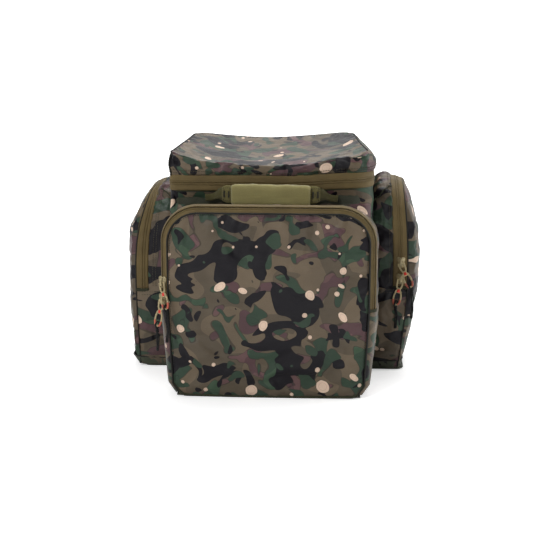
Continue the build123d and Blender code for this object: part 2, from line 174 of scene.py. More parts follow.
def resample(line, step):
    line = np.asarray(line, float)
    return sample(line, lengths(line), even_stations(line, step))


def smooth_path(line, step, passes=3):
    path = resample(line, step)
    for _ in range(passes):
        path[1:-1] = (path[:-2] + 2 * path[1:-1] + path[2:]) / 4
    return path


class Noise:
    """Gradient noise over points in millimetres."""

    def __init__(self, seed):
        random = np.random.RandomState(seed)
        self.table = np.concatenate([random.permutation(256)] * 3)
        self.slopes = unit(random.normal(size=(256, 3)))

    def once(self, points):
        cell = np.floor(points).astype(int)
        inside = points - cell
        fade = inside * inside * inside * (inside * (inside * 6 - 15) + 10)
        table, total = self.table, 0
        for corner in itertools.product((0, 1), repeat=3):
            at = (cell + corner) & 255
            slope = self.slopes[table[table[table[at[..., 0]] + at[..., 1]] + at[..., 2]]]
            weight = np.where(corner, fade, 1 - fade).prod(-1)
            total = total + weight * (slope * (inside - corner)).sum(-1)
        return total

    def __call__(self, points, size, octaves=2):
        points = np.asarray(points, float) / size
        total, share = 0, 1.0
        for _ in range(octaves):
            total = total + share * self.once(points)
            points, share = points * 2.03 + 7.7, share * 0.5
        return total


NOISE_A, NOISE_B, NOISE_C = Noise(11), Noise(23), Noise(37)


# ------------------------------------------------------------------ meshes
PIECES = {}     # every finished piece by name
SIMS = []       # (cloth piece, simulation settings)


def keep(name, mesh):
    piece = bpy.data.objects.new(name, mesh)
    bpy.context.scene.collection.objects.link(piece)
    PIECES[name] = piece
    return piece


def build_mesh(name, verts, faces, mats, uv=None, face_mat=None):
    mesh = bpy.data.meshes.new(name)
    mesh.from_pydata((np.asarray(verts, float) * MM).tolist(), [], faces)
    for mat in mats if isinstance(mats, list) else [mats]:
        mesh.materials.append(mat)
    if uv is not None:
        layer = mesh.uv_layers.new(name="UVMap")
        corners = np.zeros(len(mesh.loops), np.int32)
        mesh.loops.foreach_get("vertex_index", corners)
        layer.data.foreach_set("uv", np.asarray(uv, np.float32)[corners].ravel())
    if face_mat is not None:
        mesh.polygons.foreach_set("material_index", np.asarray(face_mat, np.int32))
    mesh.polygons.foreach_set("use_smooth", np.ones(len(mesh.polygons), bool))
    mesh.update()
    return keep(name, mesh)


def coords(mesh):
    """Vertex places in metres."""
    flat = np.zeros(len(mesh.vertices) * 3, np.float32)
    mesh.vertices.foreach_get("co", flat)
    return flat.reshape(-1, 3).astype(float)


def set_coords(mesh, places):
    mesh.vertices.foreach_set("co", places.astype(np.float32).ravel())
    mesh.update()


def grid(name, points, mats, uv=None, flip=False, wrap=False):
    """A sheet from points[column, row, 3]; wrap joins the last column to the first."""
    columns, rows = points.shape[:2]
    faces = []
    for i in range(columns if wrap else columns - 1):
        j = (i + 1) % columns
        for k in range(rows - 1):
            face = (i * rows + k, j * rows + k, j * rows + k + 1, i * rows + k + 1)
            faces.append(face[::-1] if flip else face)
    if uv is not None:
        uv = np.asarray(uv).reshape(-1, 2)
    return build_mesh(name, points.reshape(-1, 3), faces, mats, uv)


def uv_table(u, v):
    return np.stack(np.broadcast_arrays(u[:, None], v[None, :]), -1)


def grid_uv(points, shift=(0, 0), turn=0.0):
    """Millimetre coordinates of a sheet, measured along its middle rows."""
    columns, rows = points.shape[:2]
    measured = uv_table(lengths(points[:, rows // 2]), lengths(points[columns // 2]))
    u, v = measured[..., 0], measured[..., 1]
    cos, sin = math.cos(turn), math.sin(turn)
    return np.stack([u * cos - v * sin + shift[0], u * sin + v * cos + shift[1]], -1)


def thicken(piece, thickness, inner=None):
    solid = piece.modifiers.new("thickness", "SOLIDIFY")
    solid.thickness = thickness * MM
    solid.offset = -1
    if inner is not None:
        piece.data.materials.append(inner)
        solid.material_offset = len(piece.data.materials) - 1


def tube_faces(rings, around, closed=False, base=0):
    """Quads between rings of vertices, then the two end caps unless it is closed."""
    faces = []
    for i in range(rings if closed else rings - 1):
        here, there = base + i * around, base + (i + 1) % rings * around
        for k in range(around):
            after = (k + 1) % around
            faces.append((here + k, there + k, there + after, here + after))
    if not closed:
        last = base + (rings - 1) * around
        faces.append(tuple(base + k for k in range(around)))
        faces.append(tuple(last + k for k in reversed(range(around))))
    return faces


def tangents(path, closed=False):
    if closed:
        return unit(np.roll(path, -1, 0) - np.roll(path, 1, 0))
    return unit(np.gradient(path, axis=0))


def frames_along(path, up, closed=False):
    """Directions across the path and upwards from it, up being roughly given."""
    ahead = tangents(path, closed)
    across = unit(np.cross(ahead, np.broadcast_to(np.asarray(up, float), path.shape)))
    return across, np.cross(across, ahead)


def parallel_frames(path, closed=False):
    """The same with as little twist as possible."""
    ahead = tangents(path, closed)
    lift = np.zeros_like(path)
    before = np.array([0.3, 0.2, 1.0])
    for i in range(len(path)):
        before = lift[i] = unit(before - ahead[i] * (before @ ahead[i]))
    return np.cross(ahead, lift), lift


def sweep(name, path, section, mats, up=None, closed=False, scale=None):
    """A closed section [(across, up), ...] carried along a path."""
    path = np.asarray(path, float)
    across, lift = parallel_frames(path, closed) if up is None else frames_along(path, up, closed)
    section = np.asarray(section, float)
    size = np.ones(len(path)) if scale is None else np.asarray(scale, float)
    verts = path[:, None] + size[:, None, None] * (
        section[None, :, 0, None] * across[:, None] + section[None, :, 1, None] * lift[:, None])
    uv = uv_table(lengths(path), lengths(section)).reshape(-1, 2)
    faces = tube_faces(len(path), len(section), closed)
    return build_mesh(name, verts.reshape(-1, 3), faces, mats, uv)


def ellipse(radius, count=8, across=None):
    angle = np.linspace(0, 2 * math.pi, count, endpoint=False)
    return np.stack([(across or radius) * np.cos(angle), radius * np.sin(angle)], 1)


def flat_section(half, thick):
    return [(-half, -thick), (half, -thick), (half, thick), (-half, thick)]


def web_section(half, thick):
    """Flat webbing, slightly crowned on its upper face."""
    ridge = thick + 0.1
    return [(-half, -thick), (half, -thick), (half, thick), (4, ridge), (-4, ridge), (-half, thick)]


def upright_section(thick, half):
    return [(-thick, -half), (thick, -half), (thick, -4), (thick, 4),
            (thick, half), (-thick, half), (-thick, 4), (-thick, -4)]


def rounded_rect(half_x, half_y, radius):
    x, y = half_x - radius, half_y - radius
    return np.concatenate([arc(x, y, radius, 0, 90, 3), arc(-x, y, radius, 90, 180, 3),
                           arc(-x, -y, radius, 180, 270, 3), arc(x, -y, radius, 270, 360, 3)])


def plate(name, outline, z_low, z_high, mat, bevel=0.8):
    """A flat plate with its upright edges bevelled."""
    bm = bmesh.new()
    face = bm.faces.new([bm.verts.new((x * MM, y * MM, z_low * MM)) for x, y in outline])
    grown = bmesh.ops.extrude_face_region(bm, geom=[face])["geom"]
    bmesh.ops.translate(bm, vec=(0, 0, (z_high - z_low) * MM),
                        verts=[part for part in grown if isinstance(part, bmesh.types.BMVert)])
    bmesh.ops.recalc_face_normals(bm, faces=bm.faces)
    if bevel > 0:
        flat = [edge for edge in bm.edges if abs(edge.verts[0].co.z - edge.verts[1].co.z) < 1e-7]
        bmesh.ops.bevel(bm, geom=flat, offset=bevel * MM, segments=2, affect="EDGES",
                        clamp_overlap=True)
    mesh = bpy.data.meshes.new(name)
    layer = bm.loops.layers.uv.new("UVMap")
    for face in bm.faces:
        for loop in face.loops:
            x, y, z = loop.vert.co
            loop[layer].uv = ((x + z) / MM, (y + z) / MM)
    bm.to_mesh(mesh)
    bm.free()
    mesh.materials.append(mat)
    return keep(name, mesh)


def join(name, parts):
    """One mesh from several, keeping materials and UVs."""
    mats, verts, faces, uvs, face_mat = [], [], [], [], []
    base = 0
    for part in parts:
        mesh = part.data
        places = coords(mesh) / MM
        verts.append(places)
        for mat in mesh.materials:
            if mat not in mats:
                mats.append(mat)
        for face in mesh.polygons:
            faces.append(tuple(base + i for i in face.vertices))
            face_mat.append(mats.index(mesh.materials[face.material_index]))
        uv = np.zeros((len(places), 2))
        layer = mesh.uv_layers[0]
        for loop in mesh.loops:
            uv[loop.vertex_index] = layer.data[loop.index].uv
        uvs.append(uv)
        base += len(places)
        PIECES.pop(part.name)
        bpy.data.objects.remove(part)
    return build_mesh(name, np.concatenate(verts), faces, mats, np.concatenate(uvs), face_mat)


# one stitch: place along its length, then its width and height, as shares of the full size
STITCH = [(-0.5, 0.0, -0.3), (-0.34, 0.85, 0.62), (0.0, 1.0, 1.0), (0.34, 0.85, 0.62),
          (0.5, 0.0, -0.3)]


def stitches(name, line, normal, mat, size):
    """A row of thread stitches. normal: one vector, or one per point of the line.
    size: (pitch, length, width, height)."""
    pitch, length, width, height = size
    line = np.asarray(line, float)
    stations = lengths(line)
    count = max(1, int(stations[-1] / pitch))
    centre = (np.arange(count) + 0.5) * (stations[-1] / count)
    ahead = unit(sample(line, stations, centre + 0.5) - sample(line, stations, centre - 0.5))
    normals = np.broadcast_to(np.asarray(normal, float), line.shape)
    across = unit(np.cross(ahead, sample(normals, stations, centre)))
    lift = np.cross(across, ahead)
    around = 4
    shape = []
    for place, wide, tall in STITCH:
        for k in range(around):
            angle = 2 * math.pi * (k + 0.5) / around
            shape.append((place * length, wide * width / 2 * math.cos(angle) * 1.3,
                          tall * height * 0.5 + max(wide, 0.05) * height * 0.5 * math.sin(angle)))
    shape = np.array(shape)
    verts = (sample(line, stations, centre)[:, None] + shape[None, :, 0, None] * ahead[:, None]
             + shape[None, :, 1, None] * across[:, None] + shape[None, :, 2, None] * lift[:, None])
    faces = []
    for i in range(count):
        faces += tube_faces(len(STITCH), around, base=i * len(shape))
    verts = verts.reshape(-1, 3)
    return build_mesh(name, verts, faces, mat, np.zeros((len(verts), 2)))


# stitch sizes: (pitch, length, width, height)
POCKET_STITCH = (3.6, 2.7, 0.75, 0.5)
WIDE_STITCH = (3.8, 2.9, 0.85, 0.6)


# ------------------------------------------------------------------ shader node helpers
class Nodes:
    def __init__(self, tree):
        self.tree = tree

    def put(self, value, socket):
        if isinstance(value, bpy.types.NodeSocket):
            self.tree.links.new(value, socket)
        else:
            socket.default_value = value

    def add(self, kind, props=None, **inputs):
        """A node with its inputs given by name, or as i0, i1, ... by number."""
        node = self.tree.nodes.new(kind)
        for key, value in (props or {}).items():
            setattr(node, key, value)
        for key, value in inputs.items():
            self.put(value, node.inputs[int(key[1:]) if key[1:].isdigit() else key])
        return node

    def math(self, operation, first, second=0.0):
        node = self.add("ShaderNodeMath", {"operation": operation}, i0=first, i1=second)
        return node.outputs[0]

    def times(self, first, second):
        return self.math("MULTIPLY", first, second)

    def plus(self, first, second):
        return self.math("ADD", first, second)

    def minus(self, first, second):
        return self.math("SUBTRACT", first, second)

    def absolute(self, value):
        return self.math("ABSOLUTE", value)

    def wave(self, value, pitch):
        return self.math("SINE", self.times(value, 2 * math.pi / pitch))

    def ridges(self, value, pitch):
        """Rounded ridges, one per pitch."""
        return self.absolute(self.wave(value, 2 * pitch))

    def vec(self, operation, first, second):
        node = self.add("ShaderNodeVectorMath", {"operation": operation}, i0=first, i1=second)
        return node.outputs[0]

    def scale(self, vector, factor):
        node = self.add("ShaderNodeVectorMath", {"operation": "SCALE"}, i0=vector, Scale=factor)
        return node.outputs[0]

    def axes(self, vector):
        return self.add("ShaderNodeSeparateXYZ", Vector=vector).outputs

    def noise(self, vector, size, detail=2.0, rough=0.5, distort=0.0, output="Fac"):
        return self.add("ShaderNodeTexNoise", Vector=vector, Scale=1.0 / size, Detail=detail,
                        Roughness=rough, Distortion=distort).outputs[output]

    def ramp(self, value, over, to=(0.0, 1.0)):
        """A smooth step from to[0] to to[1] as the value passes over the given range."""
        node = self.add("ShaderNodeMapRange", {"interpolation_type": "SMOOTHSTEP"}, Value=value)
        for key, limit in zip(("From Min", "From Max", "To Min", "To Max"), over + to):
            node.inputs[key].default_value = limit
        return node.outputs["Result"]

    def mix(self, factor, first, second, mode="MIX"):
        node = self.tree.nodes.new("ShaderNodeMix")
        node.data_type = "RGBA"
        node.blend_type = mode
        node.clamp_factor = True
        for value, number in ((factor, 0), (first, 6), (second, 7)):
            self.put(value + (1.0,) if isinstance(value, tuple) else value, node.inputs[number])
        return node.outputs[2]

    def tint(self, colour, factor):
        """The colour made lighter or darker by a factor."""
        grey = self.add("ShaderNodeCombineXYZ", X=factor, Y=factor, Z=factor).outputs[0]
        return self.mix(1.0, colour, grey, "MULTIPLY")


class Paint(Nodes):
    """A Principled material being put together."""

    def __init__(self, name, rough, spec, sheen=0.0):
        self.mat = bpy.data.materials.new(name)
        self.mat.use_nodes = True
        super().__init__(self.mat.node_tree)
        self.tree.nodes.clear()
        self.shader = self.add("ShaderNodeBsdfPrincipled")
        output = self.add("ShaderNodeOutputMaterial")
        self.tree.links.new(self.shader.outputs[0], output.inputs[0])
        self.set("Roughness", rough)
        self.set("Specular IOR Level", spec)
        if sheen:
            self.set("Sheen Weight", sheen)
            self.set("Sheen Roughness", 0.45)
        self.normal = None

    def set(self, name, value):
        self.put(value, self.shader.inputs[name])

    def bump(self, height, distance, strength):
        """Adds relief on top of any before it; distance in millimetres."""
        node = self.add("ShaderNodeBump", Height=height, Strength=strength, Distance=distance * MM)
        if self.normal is not None:
            self.put(self.normal, node.inputs["Normal"])
        self.normal = node.outputs[0]
        self.set("Normal", self.normal)

    def uv(self):
        return self.add("ShaderNodeUVMap", {"uv_map": "UVMap"}).outputs[0]

    def object_coords(self):
        return self.add("ShaderNodeTexCoord").outputs["Object"]

    def object_mm(self):
        return self.scale(self.object_coords(), 1000.0)

    def weave(self, uv, pitch):
        axes = self.axes(uv)
        return self.absolute(self.times(self.wave(axes[0], pitch), self.wave(axes[1], pitch)))


def srgb(*channels):
    """A linear colour from sRGB values of 0 to 255."""
    def linear(value):
        value /= 255.0
        return value / 12.92 if value <= 0.04045 else ((value + 0.055) / 1.055) ** 2.4
    return tuple(linear(channel) for channel in channels)


# ------------------------------------------------------------------ camouflage cloth
SAND, SAND_DARK = srgb(101, 88, 71), srgb(85, 75, 61)
GREEN, GREEN_LIGHT = srgb(46, 63, 49), srgb(56, 75, 57)
BROWN, BROWN_LIGHT = srgb(82, 59, 61), srgb(96, 71, 70)
BLACK, OUTLINE = srgb(9, 5, 13), srgb(20, 18, 20)
SPOT, SPOT_RING = srgb(214, 188, 166), srgb(150, 118, 98)


def camo_patches(paint, uv):
    """Overlapping patches, each where a warped noise field rises above its level."""
    warp = paint.noise(uv, size=75.0, detail=1.0, rough=0.5, output="Color")
    warp = paint.scale(paint.vec("SUBTRACT", warp, (0.5, 0.5, 0.5)), 34.0)
    warped = paint.vec("ADD", uv, warp)

    def layer(under, over, shift, size, level, rim=0.0, stretch=(1, 1, 1), detail=0.7, distort=0.55):
        """rim: strength of the dark line round each patch."""
        place = paint.vec("MULTIPLY", paint.vec("ADD", warped, shift), stretch)
        field = paint.noise(place, size=size, detail=detail, rough=0.4, distort=distort)
        if rim:
            line = paint.ramp(field, over=(level - 0.012, level - 0.004))
            under = paint.mix(paint.times(line, rim), under, OUTLINE)
        return paint.mix(paint.ramp(field, over=(level, level + 0.006)), under, over)

    colour = layer(SAND, SAND_DARK, shift=(911, 37, 5), size=60.0, level=0.5)
    brown = layer(BROWN, BROWN_LIGHT, shift=(51, 723, 9), size=26.0, level=0.55)
    colour = layer(colour, brown, shift=(133, 271, 2), size=44.0, level=0.60, rim=0.55,
                   stretch=(1, 1.25, 1))
    green = layer(GREEN, GREEN_LIGHT, shift=(417, 57, 6), size=26.0, level=0.56)
    colour = layer(colour, green, shift=(571, 733, 4), size=40.0, level=0.585, rim=0.6,
                   stretch=(1.2, 1, 1))
    colour = layer(colour, BLACK, shift=(257, 911, 7), size=56.0, level=0.563,
                   stretch=(1, 1.15, 1), detail=1.0, distort=0.8)
    colour = layer(colour, BLACK, shift=(77, 151, 3), size=24.0, level=0.665, detail=0.3)
    return layer(colour, GREEN, shift=(707, 351, 8), size=24.0, level=0.675, rim=0.5, detail=0.3)


def camo_spots(paint, uv, colour, shift, cell, radii, share, stretch):
    """Rounded pale spots, each with a fine inner line. cell: spacing, share: how many cells
    hold a spot, stretch: the most a spot is narrowed."""
    place = paint.vec("ADD", uv, (shift, shift * 1.7, 0))
    cells = paint.add("ShaderNodeTexVoronoi", {"voronoi_dimensions": "2D", "feature": "F1"},
                      Vector=place, Scale=1.0 / cell, Randomness=0.8)
    offset = paint.vec("SUBTRACT", place, cells.outputs["Position"])
    random = paint.axes(cells.outputs["Color"])
    turned = paint.add("ShaderNodeVectorRotate", {"rotation_type": "Z_AXIS"}, Vector=offset,
                       Angle=paint.times(random[0], 6.28)).outputs[0]
    wobble = paint.times(paint.minus(paint.noise(place, size=8.0, detail=0.5), 0.5),
                         radii[0] * 0.75)
    narrow = paint.add("ShaderNodeCombineXYZ", X=1.0, Z=0.0,
                       Y=paint.ramp(random[1], over=(0.0, 1.0), to=(1.0, stretch))).outputs[0]
    distance = paint.add("ShaderNodeVectorMath", {"operation": "LENGTH"},
                         i0=paint.vec("MULTIPLY", turned, narrow)).outputs["Value"]
    distance = paint.plus(distance, wobble)
    radius = paint.ramp(random[2], over=(1.0 - share, 1.0), to=radii)
    present = paint.ramp(random[2], over=(1.0 - share, 1.0 - share + 0.001))
    depth = paint.minus(radius, distance)
    rim = paint.times(present, paint.ramp(depth, over=(-0.7, -0.1)))
    inside = paint.times(present, paint.ramp(depth, over=(0.0, 0.4)))
    ring = paint.absolute(paint.minus(distance, paint.times(radius, 0.6)))
    pale = paint.mix(paint.ramp(ring, over=(0.1, 0.55), to=(0.4, 0.0)), SPOT, SPOT_RING)
    colour = paint.mix(paint.times(rim, 0.5), colour, OUTLINE)
    return paint.mix(inside, colour, pale)


def camo_fabric(name, rough=0.36):
    paint = Paint(name, rough=rough, spec=0.25)
    uv = paint.uv()
    colour = camo_patches(paint, uv)
    colour = camo_spots(paint, uv, colour, shift=0.0, cell=46.0, radii=(3.6, 10.5), share=0.30,
                        stretch=2.1)
    colour = camo_spots(paint, uv, colour, shift=61.7, cell=30.0, radii=(1.8, 3.9), share=0.22,
                        stretch=1.2)
    fine = paint.noise(uv, size=1.1, detail=2.0, rough=0.6)
    broad = paint.noise(uv, size=70.0, detail=3.0, rough=0.55)
    weave = paint.weave(uv, pitch=0.9)
    shade = paint.times(paint.ramp(broad, over=(0.3, 0.7), to=(0.86, 1.1)),
                        paint.ramp(fine, over=(0.2, 0.8), to=(0.9, 1.08)))
    shade = paint.times(shade, paint.ramp(weave, over=(0.0, 1.0), to=(0.93, 1.05)))
    paint.set("Base Color", paint.tint(colour, shade))
    paint.set("Roughness", paint.ramp(broad, over=(0.3, 0.7), to=(rough - 0.05, rough + 0.09)))
    # thread relief, then small dents, then broad soft folds
    thread = paint.plus(paint.times(weave, 0.5), paint.times(fine, 0.6))
    paint.bump(thread, distance=0.14, strength=0.55)
    paint.bump(paint.noise(uv, size=9.0, detail=2.0, rough=0.5), distance=0.7, strength=0.35)
    stretched = paint.vec("MULTIPLY", uv, (0.7, 1.3, 1))
    folds = paint.noise(stretched, size=34.0, detail=3.0, rough=0.55, distort=0.6)
    paint.bump(folds, distance=4.5, strength=0.3)
    return paint.mat


# ------------------------------------------------------------------ the other materials
def fabric(name, colour, rough=0.75, pitch=1.2, vary=0.12, spec=0.2, sheen=0.05, ribs=None,
           rib_pitch=1.6, rib_height=0.35, depth=0.25):
    """ribs: 'u' for lines across the length, 'v' for lines along it, None for a plain weave."""
    paint = Paint(name, rough=rough, spec=spec, sheen=sheen)
    uv = paint.uv()
    fine = paint.noise(uv, size=1.6, detail=2.0, rough=0.6)
    broad = paint.noise(uv, size=35.0, detail=3.0, rough=0.5)
    height = paint.weave(uv, pitch)
    if ribs:
        rib = paint.ridges(paint.axes(uv)["uv".index(ribs)], rib_pitch / 2)
        height = paint.plus(paint.times(height, 0.5), paint.times(rib, rib_height * 2))
    shade = paint.times(
        paint.ramp(broad, over=(0.3, 0.7), to=(1 - vary, 1 + vary)),
        paint.ramp(fine, over=(0.2, 0.8), to=(1 - vary * 0.7, 1 + vary * 0.7)))
    shade = paint.times(shade, paint.ramp(height, over=(0.0, 1.0), to=(0.84, 1.06)))
    paint.set("Base Color", paint.tint(colour, shade))
    paint.bump(height, distance=depth, strength=0.7)
    return paint.mat


def webbing(name, colour):
    return fabric(name, colour, rough=0.8, pitch=1.5, vary=0.14, ribs="v", rib_pitch=2.2,
                  rib_height=0.5, depth=0.4)


def mesh_fabric(name, colour, cell=2.6):
    paint = Paint(name, rough=0.8, spec=0.25, sheen=0.25)
    place = paint.object_mm()
    cells = paint.add("ShaderNodeTexVoronoi", {"feature": "DISTANCE_TO_EDGE"}, Vector=place,
                      Scale=1.0 / cell, Randomness=0.25)
    height = paint.ramp(cells.outputs[0], over=(0.05, 0.28), to=(1.0, 0.0))
    broad = paint.noise(place, size=40.0, detail=3.0, rough=0.5)
    # Painted shade: the hollows of the mesh are painted at three tenths of its colour.
    with_shaded_holes = paint.mix(height, tuple(channel * 0.3 for channel in colour), colour)
    shade = paint.ramp(broad, over=(0.3, 0.7), to=(0.85, 1.12))
    paint.set("Base Color", paint.tint(with_shaded_holes, shade))
    paint.bump(height, distance=0.6, strength=0.8)
    return paint.mat


def zip_fabric(name):
    """Zip tape; its UV runs u along the zip and v away from its centre line."""
    paint = Paint(name, rough=0.62, spec=0.25)
    uv = paint.uv()
    along, away = paint.axes(uv)[:2]
    coil = paint.ramp(away, over=(2.9, 3.4), to=(1.0, 0.0))
    rib = paint.ridges(along, 1.75)
    zigzag = paint.times(paint.ridges(along, 1.3), 0.35)
    fine = paint.ridges(paint.plus(away, zigzag), 1.25)
    height = paint.plus(paint.times(coil, paint.times(rib, 1.6)), paint.times(fine, 0.5))
    broad = paint.noise(uv, size=28.0, detail=3.0, rough=0.5)
    shade = paint.times(paint.ramp(broad, over=(0.3, 0.7), to=(0.9, 1.1)),
                        paint.ramp(fine, over=(0.0, 1.0), to=(0.84, 1.06)))
    # Painted shade: the grooves between the coil's ribs are painted darker.
    groove_shade = paint.times(coil, paint.ramp(rib, over=(0.0, 0.6), to=(0.38, 0.0)))
    shade = paint.times(shade, paint.minus(1.0, groove_shade))
    # Painted shade: the middle line, where the two halves meet, is painted darker.
    shade = paint.times(shade, paint.ramp(away, over=(0.1, 0.75), to=(0.3, 1.0)))
    paint.set("Base Color", paint.tint(srgb(99, 84, 52), shade))
    paint.bump(height, distance=0.35, strength=0.8)
    return paint.mat


def metal(name, colour, worn, rough=0.42):
    """Painted metal worn bare along its edges."""
    paint = Paint(name, rough=rough, spec=0.5)
    place = paint.object_mm()
    geometry = paint.add("ShaderNodeNewGeometry")
    edge = paint.ramp(geometry.outputs["Pointiness"], over=(0.52, 0.6))
    scratch = paint.noise(place, size=3.0, detail=4.0, rough=0.7)
    wear = paint.times(edge, paint.ramp(scratch, over=(0.35, 0.6)))
    blotch = paint.noise(place, size=6.0, detail=3.0, rough=0.6)
    tinted = paint.tint(colour, paint.ramp(blotch, over=(0.3, 0.7), to=(0.8, 1.1)))
    paint.set("Base Color", paint.mix(wear, tinted, worn))
    paint.set("Metallic", paint.ramp(wear, over=(0.0, 1.0), to=(0.25, 0.9)))
    paint.set("Roughness", paint.ramp(scratch, over=(0.3, 0.7), to=(rough - 0.1, rough + 0.12)))
    paint.bump(scratch, distance=0.05, strength=0.4)
    return paint.mat


def plastic(name, colour, rough):
    paint = Paint(name, rough=rough, spec=0.4)
    place = paint.object_mm()
    grain = paint.noise(place, size=0.8, detail=3.0, rough=0.6)
    blotch = paint.noise(place, size=12.0, detail=2.0)
    shade = paint.ramp(blotch, over=(0.3, 0.7), to=(0.85, 1.15))
    paint.set("Base Color", paint.tint(colour, shade))
    paint.set("Roughness", paint.ramp(grain, over=(0.3, 0.7), to=(rough - 0.08, rough + 0.1)))
    paint.bump(grain, distance=0.06, strength=0.5)
    return paint.mat


CAMO = camo_fabric("camo_cloth")
LINING = fabric("lining_cloth", srgb(58, 60, 46), rough=0.5, pitch=0.8, vary=0.1, spec=0.3,
                sheen=0.0)
PIPING = fabric("piping_cloth", srgb(30, 30, 26), rough=0.6, pitch=1.0, vary=0.15, spec=0.25,
                sheen=0.0)
BINDING = fabric("binding_tape", srgb(52, 54, 38), rough=0.7, pitch=1.0, ribs="v", rib_pitch=1.4)
BASE = fabric("base_cloth", srgb(58, 63, 47), rough=0.42, pitch=1.4, spec=0.35, sheen=0.0)
TAPE = zip_fabric("zip_tape")
COIL = plastic("zip_coil", srgb(60, 52, 34), rough=0.4)
WEB = webbing("webbing", srgb(92, 88, 52))
# A darker copy of the handle's webbing, for its ends that run back to the wall in shade: painted
# shade.
WEB_PAINTED_SHADE = webbing("webbing_painted_shade", srgb(80, 76, 46))
WEB_GRIP = webbing("webbing_by_the_grip", srgb(108, 101, 63))
GRIP = fabric("grip_cloth", srgb(148, 139, 90), rough=0.72, pitch=1.3, vary=0.08, spec=0.3,
              sheen=0.25)
AIR_MESH = mesh_fabric("air_mesh", srgb(52, 54, 40))
OPEN_MESH = mesh_fabric("open_mesh", srgb(40, 40, 36), cell=2.0)
THREAD = plastic("thread", srgb(60, 56, 40), rough=0.6)
THREAD_DARK = plastic("thread_dark", srgb(24, 24, 22), rough=0.6)
SLIDER = metal("slider_metal", srgb(152, 140, 106), worn=srgb(196, 180, 140))
PULL = metal("pull_metal", srgb(160, 146, 110), worn=srgb(200, 182, 140))
RED = plastic("red_inset", srgb(200, 52, 40), rough=0.4)
TIP = plastic("red_tip", srgb(168, 82, 64), rough=0.5)
CORD = fabric("cord", srgb(22, 22, 22), rough=0.7, pitch=1.0, vary=0.2, ribs="u", rib_pitch=1.8,
              rib_height=0.5, depth=0.3)
BUCKLE = plastic("buckle_plastic", srgb(26, 26, 26), rough=0.38)
BOARD = plastic("board_plastic", srgb(20, 20, 20), rough=0.5)


# ------------------------------------------------------------------ zips
# cross-section of a zip half: (distance from the centre line, height)
ZIP_RIDGE = [(0.5, -1.1), (0.5, 0.15), (0.85, 0.75), (1.6, 1.0), (2.5, 0.85), (3.1, 0.3),
             (3.9, 0.2)]
# one loop of the coil: (distance from the centre line, height, half width)
COIL_LOOP = [(-0.35, -2.3, 0.5), (0.1, -1.2, 0.45), (2.4, -1.15, 0.35), (3.0, -2.2, 0.35),
             (2.3, -3.2, 0.4), (0.2, -3.4, 0.5)]
COIL_PITCH = 1.75
TAPE_THICK = 0.9


def zip_tape(name, line, away, out, tail, flip):
    """A ridge over the coil and then flat tape, whose section ends in the points of tail.
    away and out are unit vectors at each point of the zip's centre line."""
    section = np.array(ZIP_RIDGE + tail, float)
    points = (line[:, None] + away[:, None] * section[None, :, 0, None]
              + out[:, None] * section[None, :, 1, None])
    tape = grid(name, points, TAPE, uv_table(lengths(line), section[:, 0]), flip=flip)
    thicken(tape, TAPE_THICK)


def zip_coil(name, line, away, out, phase):
    """The coil on the inner side, as a row of small loops; phase is in half pitches."""
    stations = lengths(line)
    centre = (np.arange(int(stations[-1] / COIL_PITCH)) + 0.5 * phase) * COIL_PITCH
    centre = centre[centre < stations[-1]]
    place, away, out = (sample(part, stations, centre) for part in (line, away, out))
    along = unit(np.cross(away, out))
    verts = np.stack([place + away * dist + out * height + along * (half * end)
                      for end in (-1, 1) for dist, height, half in COIL_LOOP], 1)
    around = len(COIL_LOOP)
    faces = []
    for i in range(len(centre)):
        loop = tube_faces(2, around, base=i * 2 * around)
        faces += loop[-2:] + loop[:-2]
    verts = verts.reshape(-1, 3)
    build_mesh(name, verts, faces, COIL, np.zeros((len(verts), 2)))


def mirrored_outline(half):
    """The whole outline from its half at negative first coordinate, with outward normals."""
    points = np.concatenate([half, half[-2::-1] * [-1, 1]])
    ahead = unit(np.gradient(points, axis=0))
    return points, np.stack([-ahead[:, 1], ahead[:, 0]], 1)


# ------------------------------------------------------------------ front pocket: outline
FOOT_Z = 18                         # top of the cut lower corners
BAND, BAND_DEPTH = 14.0, 8.0        # sloped band that carries the zip: inwards and in depth
BAND_EDGE = POCKET_FACE + BAND_DEPTH
TURN_Y = POCKET_FACE + 14.0         # where the pocket's side turns towards its face
COIL_IN = 4.0                       # zip centre line, in from the outline
PANEL_IN = 12.2                     # panel border, in from the outline
FORWARD = np.array([0, -1, 0])


def pocket_half(z):
    lower = POCKET_X - 9 - 12 * (FOOT_Z - z) / FOOT_Z
    middle = POCKET_X - 9 + 9 * (z - FOOT_Z) / (ZIP_END - FOOT_Z)
    return np.where(z < FOOT_Z, lower, np.where(z < ZIP_END, middle, POCKET_X))


def front_arch(top):
    """Outline (x, z) from the left foot over the arch to the right foot, and its normals."""
    spring = POCKET_TOP - ARCH_R
    z = runs((3.0, FOOT_Z, 5), (FOOT_Z, ZIP_END - 2, 28), (ZIP_END - 2, ZIP_END + 3, 4),
             (ZIP_END + 3, spring, 24))
    share = np.where(z > ZIP_END, (z - ZIP_END) / (spring - ZIP_END), 0)
    left = np.stack([-pocket_half(z), z + share * (top - POCKET_TOP)], 1)
    corner = arc(-(POCKET_X - ARCH_R), top - ARCH_R, ARCH_R, 180, 90, 22)
    level = np.linspace((-(POCKET_X - ARCH_R), top), (0, top), 22)[1:]
    return mirrored_outline(np.concatenate([left, corner, level]))


ARCH, ARCH_NORMAL = front_arch(POCKET_TOP)
REAR_ARCH, _ = front_arch(POCKET_TOP - 21.0)
ARCH_X, ARCH_Z = ARCH.T
ARCH_OUT = xyz(ARCH_NORMAL[:, 0], 0, ARCH_NORMAL[:, 1])


def border_inset(z):
    foot_inset = 8
    share = np.clip(z / ZIP_END, 0, 1)
    return np.where(z > ZIP_END, PANEL_IN, foot_inset + (PANEL_IN - foot_inset) * share)


